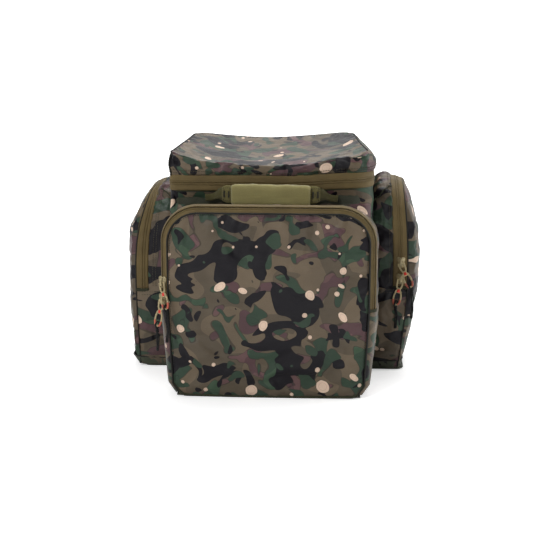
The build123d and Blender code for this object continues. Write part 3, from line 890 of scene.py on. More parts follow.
def wall_front(x, z):
    """Depth of the main wall's front, round its corners."""
    rise = float(smooth((z - 120) / 170.0))
    radius = (6 + rise) if x < 0 else (8 + 24 * rise)
    past = min(max(abs(x) - (MAIN_X - radius), 0.0), 0.985 * radius)
    return MAIN_FRONT + radius - math.sqrt(radius * radius - past * past)


WALL_Y = np.array([wall_front(x, z) for x, z in REAR_ARCH])


def band_point(i, inset, lift=0.0):
    """Point on the sloped zip band, inset from the outline."""
    up = (ARCH_OUT[i] * BAND_DEPTH + FORWARD * BAND) / math.hypot(BAND_DEPTH, BAND)
    edge = xyz(ARCH_X[i], BAND_EDGE - BAND_DEPTH * inset / BAND, ARCH_Z[i])
    return edge - ARCH_OUT[i] * inset + up * lift


# ------------------------------------------------------------------ front pocket: pieces
def front_gusset():
    """Cloth from the front wall forward to the zip, and below the zip on round the corner."""
    above_end = smooth((ARCH_Z - (ZIP_END - 2)) / 4.0)
    share = np.linspace(0, 1, 30)
    points = np.zeros((len(ARCH), len(share), 3))
    for i, (rear_x, rear_z) in enumerate(REAR_ARCH):
        out, z, above = ARCH_OUT[i], ARCH_Z[i], above_end[i]
        rear = np.array([rear_x, WALL_Y[i] + 3.2, rear_z])
        turn = np.array([ARCH_X[i], TURN_Y, z])
        corner = [turn - out * (1 - math.cos(angle)) * border_inset(z)
                  + FORWARD * math.sin(angle) * (TURN_Y - POCKET_FACE - 0.5)
                  for angle in np.linspace(0, math.pi / 2, 7)[1:]]
        profile = np.array([rear, turn] + corner)
        stations = lengths(profile)
        depth = stations[1]
        at = share * (depth + (stations[-1] - depth) * (1 - above))
        place = sample(profile, stations, at)
        upright = abs(out[0])
        bulge = ((3.6 * upright + 2.0 * (1 - upright))
                 * np.sin(np.pi * np.clip(at / (depth + 6), 0, 1)) ** 0.8)
        foot = smooth((z - 3) / 30)
        wrinkle = (NOISE_A(place + [0, 300, 0], 46.0, 3) * 4.0
                   * np.sin(np.pi * np.clip(at / depth, 0, 1)) * foot)
        push = bulge * (0.35 + 0.65 * foot) + wrinkle - 2.0 * above
        points[i] = place + out * push[:, None]
    grid("front_pocket_side_cloth", points, CAMO, grid_uv(points, turn=0.3), flip=True)


# creases that fall from each side: (height, spread, lift forward)
LEFT_CREASES = [(156, 17, 2.6), (132, 16, 1.6), (101, 12, -4.4), (72, 17, 3.4), (44, 9, -1.5),
                (30, 9, 1.2)]
RIGHT_CREASES = [(205, 16, -1.6), (120, 18, 1.6), (86, 14, -1.8), (52, 16, 1.2)]


def panel_half(z):
    radius = ARCH_R - PANEL_IN
    spring = POCKET_TOP - ARCH_R
    rounded = np.sqrt(np.maximum(radius * radius - np.clip(z - spring, 0, radius) ** 2, 0))
    return np.where(z > spring, (POCKET_X - ARCH_R) + rounded, pocket_half(z) - border_inset(z))


def front_panel():
    """A crowned sheet inside the piping."""
    spring = POCKET_TOP - ARCH_R
    rows = np.concatenate([
        runs((2.2, ZIP_END, 44), (ZIP_END, spring, 32)),
        spring + (ARCH_R - PANEL_IN) * np.sin(np.radians(np.linspace(0, 90, 22)))])
    across = np.linspace(-1, 1, 96)[:, None]
    x = across * panel_half(rows)[None, :]
    up = 2 * (rows[None, :] - 2) / (POCKET_TOP - PANEL_IN - 2) - 1
    y = POCKET_FACE + 0.2 - 5.2 * (1 - np.abs(across) ** 5) * (1 - np.abs(up) ** 6)
    z = rows - 1.6 * np.cos(across * math.pi / 2) * smooth((30 - rows) / 30)
    free = (1 - np.abs(across) ** 6) * (1 - np.abs(up) ** 8)
    left = 0.55 + 0.75 * smooth((-across - 0.1) / 0.8)
    y = y - 4.8 * NOISE_B(xyz(x * 0.6, 0.0, z * 1.25), 42.0, 3) * free * left
    for creases, mask, slant in (
            (LEFT_CREASES, smooth((-x - 10) / 85.0), 0.28 * (x + 140)),
            (RIGHT_CREASES, smooth((x - 70) / 60.0), -0.2 * (x - 140))):
        for height, spread, lift in creases:
            y = y - lift * bell(z - height + slant, spread) * mask * free
    panel = grid("front_pocket_panel_cloth", xyz(x, y, z), CAMO, np.stack([x + 37, z + 911], -1))
    SIMS.append((panel, dict(shrink=-0.022, pressure=0.6, cap=4.0, gravity=0.8)))


def front_zip():
    ids = np.nonzero(ARCH_Z >= ZIP_END - 1.0)[0]
    line = band_point(ids, COIL_IN)
    inward = unit(band_point(ids, COIL_IN + 1) - line)
    out = band_point(ids, 0, 1.0) - band_point(ids, 0)
    zip_tape("front_zip_panel_tape", line, inward, out, [(6.4, 0.1), (8.6, 0.0), (10.2, -0.3)],
             flip=True)
    # the pocket's own half turns from the sloped band on to the side
    ridge = ((0.5, -1.1), (0.5, 0.15), (0.8, 0.7), (1.3, 0.85), (1.8, 0.5), (2.2, -0.2))
    turned = ((1.5, 1.2), (1.2, 3.5), (1.2, 6.6), (1.5, 8.2))      # (inwards, towards the rear)
    edge = xyz(ARCH_X[ids], BAND_EDGE, ARCH_Z[ids])
    rows = [line - inward * away + out * height for away, height in ridge]
    rows += [edge - ARCH_OUT[ids] * inset - FORWARD * back for inset, back in turned]
    across = np.array([0.5, 0.5, 0.8, 1.3, 1.8, 2.4, 4.6, 7.2, 10.4, 12.0])
    tape = grid("front_zip_side_tape", np.stack(rows, 1), TAPE, uv_table(lengths(line), across))
    thicken(tape, TAPE_THICK)
    zip_coil("front_zip_panel_coil", line, inward, out, 0)
    zip_coil("front_zip_side_coil", line, -inward, out, 1)


def front_border():
    """Piping and a stitch row round the panel."""
    inset = border_inset(ARCH_Z) - 0.6
    border = xyz(ARCH_X, POCKET_FACE - 0.4, ARCH_Z) - ARCH_OUT * inset[:, None]
    sweep("front_panel_piping", resample(border, 3.2), ellipse(1.35), PIPING, up=FORWARD)
    row = resample(border + FORWARD * 0.3 - ARCH_OUT * 3.4, 2.0)[8:-8]
    stitches("front_panel_thread", row, FORWARD, THREAD_DARK, (3.6, 2.6, 0.7, 0.5))


def front_foot():
    """Binding over the foot and its cut corners, the pocket's floor, and the seam at the wall."""
    right = np.array([(0, 1.4), (60, 1.9), (122, 2.6), (127, 5.2), (136.2, 16), (139, 20)])
    foot = np.concatenate([right[:0:-1] * [-1, 1], right])
    sweep("front_panel_foot_binding",
          resample(xyz(foot[:, 0], POCKET_FACE - 0.2, foot[:, 1]), 4.0),
          [(-1.6, -1.1), (1.9, -1.1), (2.0, 0.9), (-1.6, 1.0)], BINDING, up=FORWARD)
    half = 134
    x = np.linspace(-half, half, 30)[None, :]
    y = np.linspace(MAIN_FRONT - 0.5, POCKET_FACE + 1.2, 14)[:, None]
    z = 1.2 + 1.4 * (np.abs(x) / half) ** 6 - 0.6 * np.cos(x / half * 1.5)
    floor = xyz(x, y, z)
    thicken(grid("front_pocket_floor_cloth", floor, BASE, grid_uv(floor)), 1.2)
    seam = xyz(REAR_ARCH[:, 0], WALL_Y - 0.9, REAR_ARCH[:, 1]) + ARCH_OUT * 0.6
    sweep("front_pocket_wall_seam", resample(seam, 4.0), ellipse(1.3, 6), PIPING, up=FORWARD)


def front_zip_ends():
    """Short tapes across the zip's lower ends."""
    tabs = []
    for side in (-1, 1):
        other_side = np.where(np.sign(ARCH_X) == side, 0, 999)
        i = int(np.argmin(np.abs(ARCH_Z - (ZIP_END + 1)) + other_side))
        line = [band_point(i, *at) for at in ((13.6, 0.9), (9, 1.0), (4, 1.2), (2.0, 0.9))]
        line += [np.array([ARCH_X[i], y, ARCH_Z[i]]) - ARCH_OUT[i] * 0.6
                 for y in (BAND_EDGE + 3, TURN_Y - 0.2)]
        tabs.append(sweep(f"front_tab_{side}", resample(line, 1.5),
                          [(-2.2, -0.5), (2.2, -0.5), (1.9, 0.45), (-1.9, 0.45)], BINDING,
                          up=(side * 0.3, -1, 0)))
    join("front_zip_end_tabs", tabs)


front_gusset()
front_panel()
front_zip()
front_border()
front_foot()
front_zip_ends()

# ------------------------------------------------------------------ side pockets
SIDE_MID = (SIDE_FRONT + SIDE_REAR) / 2
SIDE_HALF = (SIDE_REAR - SIDE_FRONT) / 2
SIDE_SPRING = SIDE_TOP - SIDE_R
SIDE_ROOT = MAIN_X + 0.6           # where a side pocket leaves the main wall


def side_arch():
    """Outline (y, z) of a side pocket from its front foot over the top to its rear foot."""
    z = runs((3.5, ZIP_END - 3, 30), (ZIP_END - 3, ZIP_END + 3, 5), (ZIP_END + 3, SIDE_SPRING, 26))
    front = np.stack([np.full(len(z), -SIDE_HALF), z], 1)
    corner = arc(-(SIDE_HALF - SIDE_R), SIDE_SPRING, SIDE_R, 180, 90, 22)
    level = np.linspace((-(SIDE_HALF - SIDE_R), SIDE_TOP), (0, SIDE_TOP), 6)[1:]
    points, normals = mirrored_outline(np.concatenate([front, corner, level]))
    return points + [SIDE_MID, 0], normals


SIDE_LINE, SIDE_NORMAL = side_arch()
SIDE_Z = SIDE_LINE[:, 1]
SIDE_OUT = xyz(0, SIDE_NORMAL[:, 0], SIDE_NORMAL[:, 1])
HALFWAY = len(SIDE_LINE) // 2

# widest reach of the shell of each side: (height, how far inside SIDE_X)
SHELL_PROFILE = {
    -1: [(0, 17.5), (12, 10), (24, 6), (54, 3), (120, 2.5), (207, 3.5), (225, 6), (241, 11),
         (258, 17.5), (275, 27), (283, 36), (286, 43)],
    1: [(0, 31), (7, 29.5), (20, 26), (37, 21.5), (60, 15.5), (88, 10), (122, 5.5), (173, 3.5),
        (224, 5.5), (240, 10), (258, 15.5), (278, 24), (283, 27), (286, 30)]}
FOOT_IN = {-1: 5.0, 1: 13.0}       # how far the shell's edge draws in at the foot


def shell_reach(z, side):
    """The shell profile with its corners rounded off."""
    heights, inside = np.array(SHELL_PROFILE[side], float).T
    even = np.arange(-40, 341, 1.0)
    reach = np.interp(even, heights, SIDE_X - inside)
    for _ in range(10):
        reach[1:-1] = (reach[:-2] + 2 * reach[1:-1] + reach[2:]) / 4
    return np.interp(z, even, reach)


class SidePocket:
    """One side pocket. Points are worked out for the right side and mirrored for the left."""

    def __init__(self, side):
        self.side, self.tag = side, SIDE_NAME[side]
        self.is_left = side < 0
        self.mirror = np.array([side, 1, 1])
        self.seed = 500 if self.is_left else 0
        self.lean = 23.0 if self.is_left else 9.0     # how far the zip leans in at the top
        self.tape_in = TAPE_IN + (3.0 if self.is_left else 0.0)
        self.zip_end = np.full(len(SIDE_LINE), ZIP_END)
        if self.is_left:
            self.zip_end[:HALFWAY] -= 9.0
        self.low_edge = self.foot_edge(SIDE_Z)
        below = SIDE_Z < self.zip_end
        order = np.arange(len(SIDE_LINE))
        self.below_front = order[below & (order < HALFWAY)]
        self.below_rear = order[below & (order > HALFWAY)]
        self.zip_ids = np.nonzero(SIDE_Z >= self.zip_end - 2.0)[0]

    def foot_edge(self, z):
        return TAPE_OUT - FOOT_IN[self.side] * np.clip((ZIP_END - z) / ZIP_END, 0, 1) ** 1.5

    def lean_share(self, z):
        start = ZIP_END + 19
        return np.clip((z - start) / (SIDE_TOP - ZIP_END - 19), 0, 1) ** 2

    def move(self, x, z):
        """x drawn in towards the main wall by the lean."""
        share = self.lean * self.lean_share(z) / (TAPE_OUT - SIDE_ROOT)
        return SIDE_ROOT + (x - SIDE_ROOT) * (1 - share)

    def drop(self, x, z):
        share = smooth((z - 190) / 96.0)
        if self.is_left:
            return -13.0 * smooth((x - 154) / 50.0) * share
        return (4.0 * bell(x - 176, 15.0) - 4.0 * smooth((x - 185) / 30.0)) * share

    def outward(self, normal_y):
        """The zip of the left pocket sits further out along its front."""
        return 6.0 * smooth((0.2 - normal_y) / 0.9) if self.is_left else 0.0 * normal_y

    def upright(self, normal_y, z):
        """Along its rear the zip stands straighter than along its front."""
        return 0.75 * self.lean * self.lean_share(z) * smooth((normal_y - 0.05) / 0.85)

    def place(self, x, i, lift=0.0):
        """Point x out from the middle of the bag, above outline point i. Not yet mirrored."""
        normal_y = SIDE_NORMAL[i, 0]
        y = SIDE_LINE[i, 0] + normal_y * lift
        z = SIDE_Z[i] + SIDE_NORMAL[i, 1] * lift
        moved = (self.move(x, z) + self.outward(normal_y) * smooth((x - 158) / 26.0)
                 + self.upright(normal_y, z) * (x - SIDE_ROOT) / (TAPE_OUT - SIDE_ROOT))
        return xyz(moved, y, z + self.drop(moved, z))

    def gusset(self):
        """Cloth between the main wall and the zip, down to the base below the zip."""
        z, share = SIDE_Z[:, None], np.linspace(0, 1, 22)
        above = smooth((SIDE_Z - (self.zip_end - 3)) / 5.0)
        reach = self.tape_in * above + self.low_edge * (1 - above)
        x = SIDE_ROOT + (reach[:, None] - SIDE_ROOT) * share
        base = self.place(x, np.arange(len(SIDE_LINE))[:, None])
        top = np.abs(SIDE_NORMAL[:, 1:])
        arched = np.sin(np.pi * share)
        dome = ((4.0 + (-1.0 if self.is_left else 3.8) * top) * arched ** 0.7
                * (0.4 + 0.6 * smooth(z / 30)))
        wrinkle = (NOISE_C(base * [1, 1, 0.8] + self.seed, 34.0, 3) * 4.2 * arched
                   * smooth(z / 40))
        crease = -2.6 * bell(share - 0.12, 0.12) * top
        push = (dome + wrinkle + crease)[..., None]
        self.cloth = (base + SIDE_OUT[:, None] * push) * self.mirror
        uv = grid_uv(self.cloth, (1300 + self.seed * 3, 170 + self.seed),
                     0.2 if self.is_left else 1.2)
        piece = grid(f"{self.tag}_pocket_gusset_cloth", self.cloth, CAMO, uv,
                     flip=not self.is_left)
        SIMS.append((piece, dict(shrink=-0.02, pressure=0.3, cap=3.5, gravity=0.4)))

    def zip(self):
        ids = self.zip_ids
        line = self.place(SIDE_COIL, ids, 0.1) * self.mirror
        out = SIDE_OUT[ids]
        away = unit(self.place(SIDE_COIL + 4, ids) - self.place(SIDE_COIL - 4, ids)) * self.mirror
        zip_tape(f"{self.tag}_zip_outer_tape", line, away, out,
                 [(6.5, 0.1), (9.2, 0.05), (10.9, -0.3)], flip=self.is_left)
        width = SIDE_COIL - self.tape_in
        zip_tape(f"{self.tag}_zip_inner_tape", line, -away, out,
                 [(width * 0.62, 0.1), (width * 0.86, 0.05), (width + 0.7, -0.3)],
                 flip=not self.is_left)
        zip_coil(f"{self.tag}_zip_outer_coil", line, away, out, 0)
        zip_coil(f"{self.tag}_zip_inner_coil", line, -away, out, 1)

    def shell(self):
        """The outer shell: a crowned sheet closed on the zip's outer edge."""
        rows = np.concatenate([
            runs((3.2, 20, 7), (20, ZIP_END, 30), (ZIP_END, SIDE_SPRING, 30)),
            SIDE_SPRING + SIDE_R * np.sin(np.radians(np.linspace(0, 90, 24)))])
        across = signed_power(np.sin(np.linspace(-math.pi / 2, math.pi / 2, 61)), 0.82)[:, None]
        in_arch = np.clip(rows - SIDE_SPRING, 0, SIDE_R)
        half = (SIDE_HALF - SIDE_R) + np.sqrt(np.maximum(SIDE_R ** 2 - in_arch ** 2, 0))
        y = SIDE_MID + across * half
        normal_y = across * np.sqrt(np.maximum(1 - (in_arch / SIDE_R) ** 2, 0))
        edge = (self.move(self.foot_edge(rows), rows) + self.outward(normal_y)
                + self.upright(normal_y, rows))
        depth = np.maximum(shell_reach(rows, self.side) - edge,
                           0.6 * smooth((SIDE_TOP - rows) / 10.0))
        x = edge + depth * (1 - np.abs(across) ** 3.4) ** (1 / 3.4)
        free = (1 - np.abs(across) ** 8) * smooth((SIDE_TOP - rows) / 22) * smooth(rows / 18)
        x = x + free * 3.2 * NOISE_B(xyz(y * 0.9, rows * 1.1, float(self.seed)), 52.0, 3)
        z = rows + self.drop(x, rows)
        uv = np.stack([y * self.side + 2100 + self.seed, z + 400 + self.seed], -1)
        piece = grid(f"{self.tag}_pocket_shell_cloth", xyz(x, y, z) * self.mirror, CAMO, uv,
                     flip=self.is_left)
        SIMS.append((piece, dict(shrink=-0.012, pressure=0.5, cap=4.0, gravity=0.4)))

    def piping(self):
        """Piping where shell and tape meet, and the seam below the zip."""
        edge = self.place(TAPE_OUT + 0.2, self.zip_ids, 0.4) * self.mirror
        sweep(f"{self.tag}_shell_piping", resample(edge, 3.2), ellipse(1.2), PIPING)
        seams = []
        for ids in (self.below_front, self.below_rear):
            line = self.place(self.low_edge[ids] + 0.2, ids, 0.5) * self.mirror
            seams.append(sweep(f"low_seam_{ids[0]}", resample(line, 4.0), ellipse(0.9, 6), PIPING))
        join(f"{self.tag}_shell_low_seams", seams)

    def on_gusset(self, i, x, lift):
        """Point on the gusset cloth, x out from the middle of the bag."""
        row = self.cloth[i]
        return sample(row, row[:, 0] * self.side, x) + SIDE_OUT[i] * lift

    def thread(self):
        """Two stitch rows beside the tape, and two across the cloth under each zip end."""
        rows = []
        ids = np.nonzero(SIDE_Z > self.zip_end + 4)[0]
        for inset in (2.2, 6.6):
            line = np.array([self.on_gusset(i, self.move(self.tape_in - inset, SIDE_Z[i]), 0.25)
                             for i in ids])
            rows.append(stitches(f"row_{inset}", line, SIDE_OUT[ids], THREAD, POCKET_STITCH))
        for ids in (self.below_front, self.below_rear):
            for below in (4, 8.5):
                i = min(ids, key=lambda k: abs(SIDE_Z[k] - (self.zip_end[k] - below)))
                x = np.linspace(SIDE_ROOT + 3, self.low_edge[i] - 1.5, 26)
                rows.append(stitches(f"end_row_{i}", self.on_gusset(i, x, 0.3),
                                     (0.0, SIDE_NORMAL[i, 0], 0), THREAD, POCKET_STITCH))
        join(f"{self.tag}_gusset_thread", rows)

    def shoulder(self):
        """Slanting seam over the gusset's front shoulder, from the zip to the main wall."""
        start, end = (int(np.argmin(np.abs(SIDE_Z[:HALFWAY] - (SIDE_TOP - below))))
                      for below in (7, 26))
        line = []
        for share in np.linspace(0, 1, 14):
            i = int(round(start + (end - start) * share))
            x = self.tape_in - 1 - (self.tape_in - SIDE_ROOT - 2) * share
            line.append(self.on_gusset(i, self.move(x, SIDE_Z[i]), 0.7))
        sweep(f"{self.tag}_shoulder_piping", resample(line, 2.5), ellipse(1.0, 6), BINDING)

    def tabs(self):
        """Short tapes across the zip's two lower ends."""
        parts = []
        for facing, y, end in ((-1, SIDE_FRONT, 0), (1, SIDE_REAR, -1)):
            x = np.linspace(self.tape_in - 1.5, TAPE_OUT + 1.0, 8) + self.outward(facing)
            line = xyz(x, y + facing * 1.6, self.zip_end[end] + 0.3) * self.mirror
            parts.append(sweep(f"side_tab_{facing}", line,
                               [(-2.4, -0.6), (2.4, -0.6), (2.1, 0.5), (-2.1, 0.5)], BINDING,
                               up=(0, facing, 0)))
        join(f"{self.tag}_zip_end_tabs", parts)

    def build(self):
        self.gusset()
        self.zip()
        self.shell()
        self.piping()
        self.thread()
        self.shoulder()
        self.tabs()


for side in (1, -1):
    SidePocket(side).build()

# ------------------------------------------------------------------ main body: outlines
N_SIDE, N_FRONT, N_CORNER = 40, 62, 9      # points on each side, on front or rear, per corner


def ring(left, right, front, rear, radii):
    """Rounded outline seen from above, from the rear of the left side forward and round.
    left, right: half widths at the front and rear. radii: front left and right, rear right and
    left."""
    front_left, front_right, rear_right, rear_left = radii
    half = (left[0] + right[0]) / 2

    def corner(x, y, radius, start):
        return arc(x, y, radius, start, start + 90, N_CORNER + 2)[1:-1]

    points = np.concatenate([
        np.linspace((-half, rear - rear_left), (-half, front + front_left), N_SIDE),
        corner(-half + front_left, front + front_left, front_left, 180),
        np.linspace((-half + front_left, front), (half - front_right, front), N_FRONT),
        corner(half - front_right, front + front_right, front_right, 270),
        np.linspace((half, front + front_right), (half, rear - rear_right), N_SIDE),
        corner(half - rear_right, rear - rear_right, rear_right, 0),
        np.linspace((half - rear_right, rear), (-half + rear_left, rear), N_FRONT),
        corner(-half + rear_left, rear - rear_left, rear_left, 90)])
    back = (points[:, 1] - front) / (rear - front)
    low_x = -(left[0] + (left[1] - left[0]) * back)
    high_x = right[0] + (right[1] - right[0]) * back
    points[:, 0] = low_x + (points[:, 0] + half) / (2 * half) * (high_x - low_x)
    return points


def straight_ring(half, front, rear, radii):
    return ring((half, half), (half, half), front, rear, radii)


def ring_normals(points):
    ahead = tangents(points, closed=True)
    return xyz(ahead[:, 1], -ahead[:, 0], 0)


def shrunk(points, count):
    """The outline repeated inwards until it almost closes on its centre, and its scale."""
    scale = np.linspace(1, 0.002, count)
    centre = points.mean(0)
    return centre + (points - centre)[:, None] * scale[:, None], scale


LOW_RING = straight_ring(MAIN_X, MAIN_FRONT, MAIN_REAR, (6, 8, 14, 14))
MAIN_RING = straight_ring(MAIN_X, MAIN_FRONT, MAIN_REAR, (7, 32, 16, 16))
MAIN_OUT = ring_normals(MAIN_RING)
RING_X, RING_Y = MAIN_RING.T
RING_COUNT = len(MAIN_RING)


# ------------------------------------------------------------------ main body: pieces
def body_cloth():
    rows = runs((3.2, 240, 26), (240, ZIP_LOW + 0.6, 16), closed=True)
    rise = smooth((rows - 120) / 170.0)[:, None]
    walls = at_height(LOW_RING[:, None] * (1 - rise) + MAIN_RING[:, None] * rise, rows)
    frontal = np.clip(-MAIN_OUT[:, 1:2], 0, 1) ** 2
    sideways = np.abs(MAIN_OUT[:, :1]) ** 2
    rearward = np.clip(MAIN_OUT[:, 1:2], 0, 1)
    recess = (-7.0 * frontal * bell(rows - (ZIP_LOW - 17), 10.5)
              + 1.6 * sideways * np.sin(math.pi * np.clip(rows / ZIP_LOW, 0, 1)))
    wrinkle = (NOISE_A(walls * [1, 1, 1.3] + 70, 30.0, 3)
               * (2.6 + 1.4 * frontal * smooth((rows - 200) / 50.0))
               * smooth(rows / 40) * smooth((ZIP_LOW + 1 - rows) / 10.0))
    push = (recess + wrinkle) * (1 - 0.85 * rearward)
    points = walls + MAIN_OUT[:, None] * push[..., None]
    cloth = grid("main_body_cloth", points, CAMO, grid_uv(points, (500, 2300)), wrap=True)
    thicken(cloth, 2.0, LINING)


def body_lining():
    """The lining with its own soft folds, its floor, and the binding round the rim."""
    outline = straight_ring(MAIN_X - 5, MAIN_FRONT + 5, MAIN_REAR - 5, (8, 30, 14, 14))
    normals = ring_normals(outline)
    rows = runs((9.4, 30, 5), (30, ZIP_LOW - 1, 30), closed=True)
    walls = at_height(outline[:, None], rows)
    push = (NOISE_B(walls + 40, 26.0, 3) * 1.8 * smooth((ZIP_LOW - rows) / 20)
            - 3.0 * (1 - smooth((rows - 9) / 12)) - 0.6)
    points = walls + normals[:, None] * push[..., None]
    lining = grid("main_lining_cloth", points, LINING, grid_uv(points), wrap=True, flip=True)
    thicken(lining, 0.5)
    x = np.linspace(-(MAIN_X - 7), MAIN_X - 7, 60)[:, None]
    y = np.linspace(MAIN_FRONT + 7, MAIN_REAR - 7, 40)
    floor = xyz(x, y, 9.8 + 0.9 * NOISE_C(xyz(x, y, 0.0), 40.0, 2))
    thicken(grid("main_floor_cloth", floor, LINING, floor[..., :2]), 0.5)
    rim = at_height(outline, ZIP_LOW + 0.4) + normals * 2.4
    sweep("main_rim_binding", rim,
          [(-2.4, -3.0), (2.4, -3.0), (2.4, 0.5), (1.2, 1.2), (-1.2, 1.2), (-2.4, 0.5)],
          BINDING, up=(0, 0, 1), closed=True)


body_cloth()
body_lining()


# ------------------------------------------------------------------ lid
def lid_height(x, y):
    """Height of the lid's top, higher at its sides than in the middle."""
    front_x, rear_x = np.abs(x + 5), np.abs(x + 10)
    front = 329.5 + np.where(x < -5, 14.5 * (front_x / 142) ** 2.1, 10.0 * (front_x / 148) ** 1.6)
    rear = 339.0 + np.where(x < -10, 8.0 * (rear_x / 117) ** 1.7, 10.8 * (rear_x / 129) ** 1.35)
    back = np.clip((y - (MAIN_FRONT + 2)) / (MAIN_REAR - MAIN_FRONT - 6), 0, 1)
    return front * (1 - back) + rear * back + (LID_TOP - 346.0)


TOP_RING = ring((149.0, 127.0), (143.5, 118.0), MAIN_FRONT + 1.5, MAIN_REAR - 4.0,
                (6, 30, 26, 26))
TOP_Z = lid_height(TOP_RING[:, 0], TOP_RING[:, 1])
BAND_ROWS = 15
# middle of each rounded corner in the outline
FRONT_LEFT = N_SIDE + N_CORNER // 2
FRONT_RIGHT = FRONT_LEFT + N_CORNER + N_FRONT
REAR_RIGHT = FRONT_RIGHT + N_SIDE + N_CORNER
REAR_LEFT = REAR_RIGHT + N_CORNER + N_FRONT
FRONT_IDS = np.arange(2 * N_SIDE + 2 * N_CORNER + N_FRONT)      # left side, front and right side


def lid_band_points():
    """The upright band of the lid, bending over to the edge of the top."""
    up = np.linspace(0, 1, BAND_ROWS)
    back = smooth((RING_Y - MAIN_FRONT) / (MAIN_REAR - MAIN_FRONT))[:, None]
    power = 2.8 - 1.65 * back
    inward = (1 - (1 - up ** power) ** (1 / power))[..., None]
    outline = MAIN_RING[:, None] * (1 - inward) + TOP_RING[:, None] * inward
    wall = at_height(outline, (ZIP_HIGH - 0.6) * (1 - up) + TOP_Z[:, None] * up)
    wrinkle = NOISE_B(wall + [0, 0, 200], 30.0, 3) * 2.4 * np.sin(math.pi * up)
    bulge = 3.0 * np.maximum(np.sin(math.pi * up), 0.0) ** 0.9
    return wall + MAIN_OUT[:, None] * (bulge + wrinkle)[..., None]


LID_BAND = lid_band_points()


def loop_ids(start, end):
    return (start + np.arange((end - start) % RING_COUNT + 1)) % RING_COUNT


def lid_edge(start, end):
    return LID_BAND[loop_ids(start, end), -1]


def lid_top_points(front, rear, left, right):
    """A sheet spanned between four edges, sagging, with one long diagonal crease."""
    u = np.linspace(0, 1, len(front))[:, None, None]
    v = np.linspace(0, 1, len(left))[None, :, None]
    points = ((1 - v) * front[:, None] + v * rear[:, None] + (1 - u) * left[None] + u * right[None]
              - ((1 - u) * (1 - v) * front[0] + u * (1 - v) * front[-1]
                 + (1 - u) * v * rear[0] + u * v * rear[-1]))
    x, y = points[..., 0], points[..., 1]
    u, v = u[..., 0], v[..., 0]
    from_edge = np.minimum(np.minimum(u, 1 - u), np.minimum(v, 1 - v))
    sag = -4.5 * np.sin(np.pi * u) ** 0.8 * np.sin(np.pi * v) ** 0.8
    folds = NOISE_C(xyz(x * 0.55 + y * 0.5, y * 1.5, 0.0), 44.0, 3) * 4.6
    along = (x + 95) * 0.86 - (y + 40) * 0.5
    across = (x + 95) * 0.5 + (y + 40) * 0.86
    crease = (-3.6 * bell(across, 7.0) * bell(along - 22, 30.0)
              + 2.4 * bell(across - 14, 9.0) * bell(along - 22, 34.0))
    points[..., 2] = lid_height(x, y) + smooth((from_edge * 9).clip(0, 1)) * (sag + folds + crease)
    points[0, :, 2], points[-1, :, 2] = left[:, 2], right[:, 2]
    points[:, 0, 2], points[:, -1, 2] = front[:, 2], rear[:, 2]
    return points


def lid_cloth():
    """Band and top in one soft mesh."""
    front, rear = lid_edge(FRONT_LEFT, FRONT_RIGHT), lid_edge(REAR_RIGHT, REAR_LEFT)[::-1]
    left, right = lid_edge(REAR_LEFT, FRONT_LEFT)[::-1], lid_edge(FRONT_RIGHT, REAR_RIGHT)
    points = lid_top_points(front, rear, left, right)
    band = grid("lid_band", LID_BAND, CAMO, grid_uv(LID_BAND, (3100, 40)), wrap=True)
    top = grid("lid_top", points, CAMO, points[..., :2] + [3600, 820])
    cloth = join("lid_cloth", [band, top])
    bm = bmesh.new()
    bm.from_mesh(cloth.data)
    bmesh.ops.remove_doubles(bm, verts=bm.verts, dist=0.02 * MM)
    bmesh.ops.recalc_face_normals(bm, faces=bm.faces)
    highest = max(bm.faces, key=lambda face: face.calc_center_median().z)
    if highest.normal.z < 0:
        bmesh.ops.reverse_faces(bm, faces=bm.faces)
    bm.to_mesh(cloth.data)
    bm.free()
    cloth.data.update()
    # the seam along both sides and the rear is held in the simulation
    seam = np.concatenate([left[2:], right[3:], rear])
    pins = [i for i, place in enumerate(coords(cloth.data) / MM)
            if np.min(((seam - place) ** 2).sum(1)) < 0.01]
    SIMS.append((cloth, dict(shrink=-0.022, pressure=0.12, cap=5.0, gravity=1.0, pins=pins,
                             pin_below=ZIP_HIGH + 1.0)))


def ring_zip(name, ids, upward):
    """Tape and coil along part of the lid's outline; upward is 1 above the zip, -1 below."""
    line = at_height(MAIN_RING, ZIP_MID)[ids] + MAIN_OUT[ids] * 0.1
    stations, even = lengths(line), even_stations(line, 3.0)
    line, out = sample(line, stations, even), unit(sample(MAIN_OUT[ids], stations, even))
    away = np.broadcast_to(np.array([0, 0, 1.0]) * upward, line.shape)
    zip_tape(name + "_tape", line, away, out, [(7.0, 0.1), (9.8, 0.05), (11.4, -0.4)],
             flip=upward > 0)
    zip_coil(name + "_coil", line, away, out, 0 if upward > 0 else 1)


def lid_zip():
    """The lower half runs all round; the upper half is parted where the zip stays closed."""
    whole = np.arange(-3, len(FRONT_IDS) + 3) % RING_COUNT
    closed = RING_Y[whole] > ZIP_SPLIT_Y + 0.3
    opening = whole[~closed]
    left = np.append(whole[closed & (RING_X[whole] < 0)], opening[0])
    right = np.insert(whole[closed & (RING_X[whole] > 0)], 0, opening[-1])
    ring_zip("lid_zip_lower", whole, -1)
    ring_zip("lid_zip_upper", opening, 1)
    ring_zip("lid_zip_left_end", left, 1)
    ring_zip("lid_zip_right_end", right, 1)


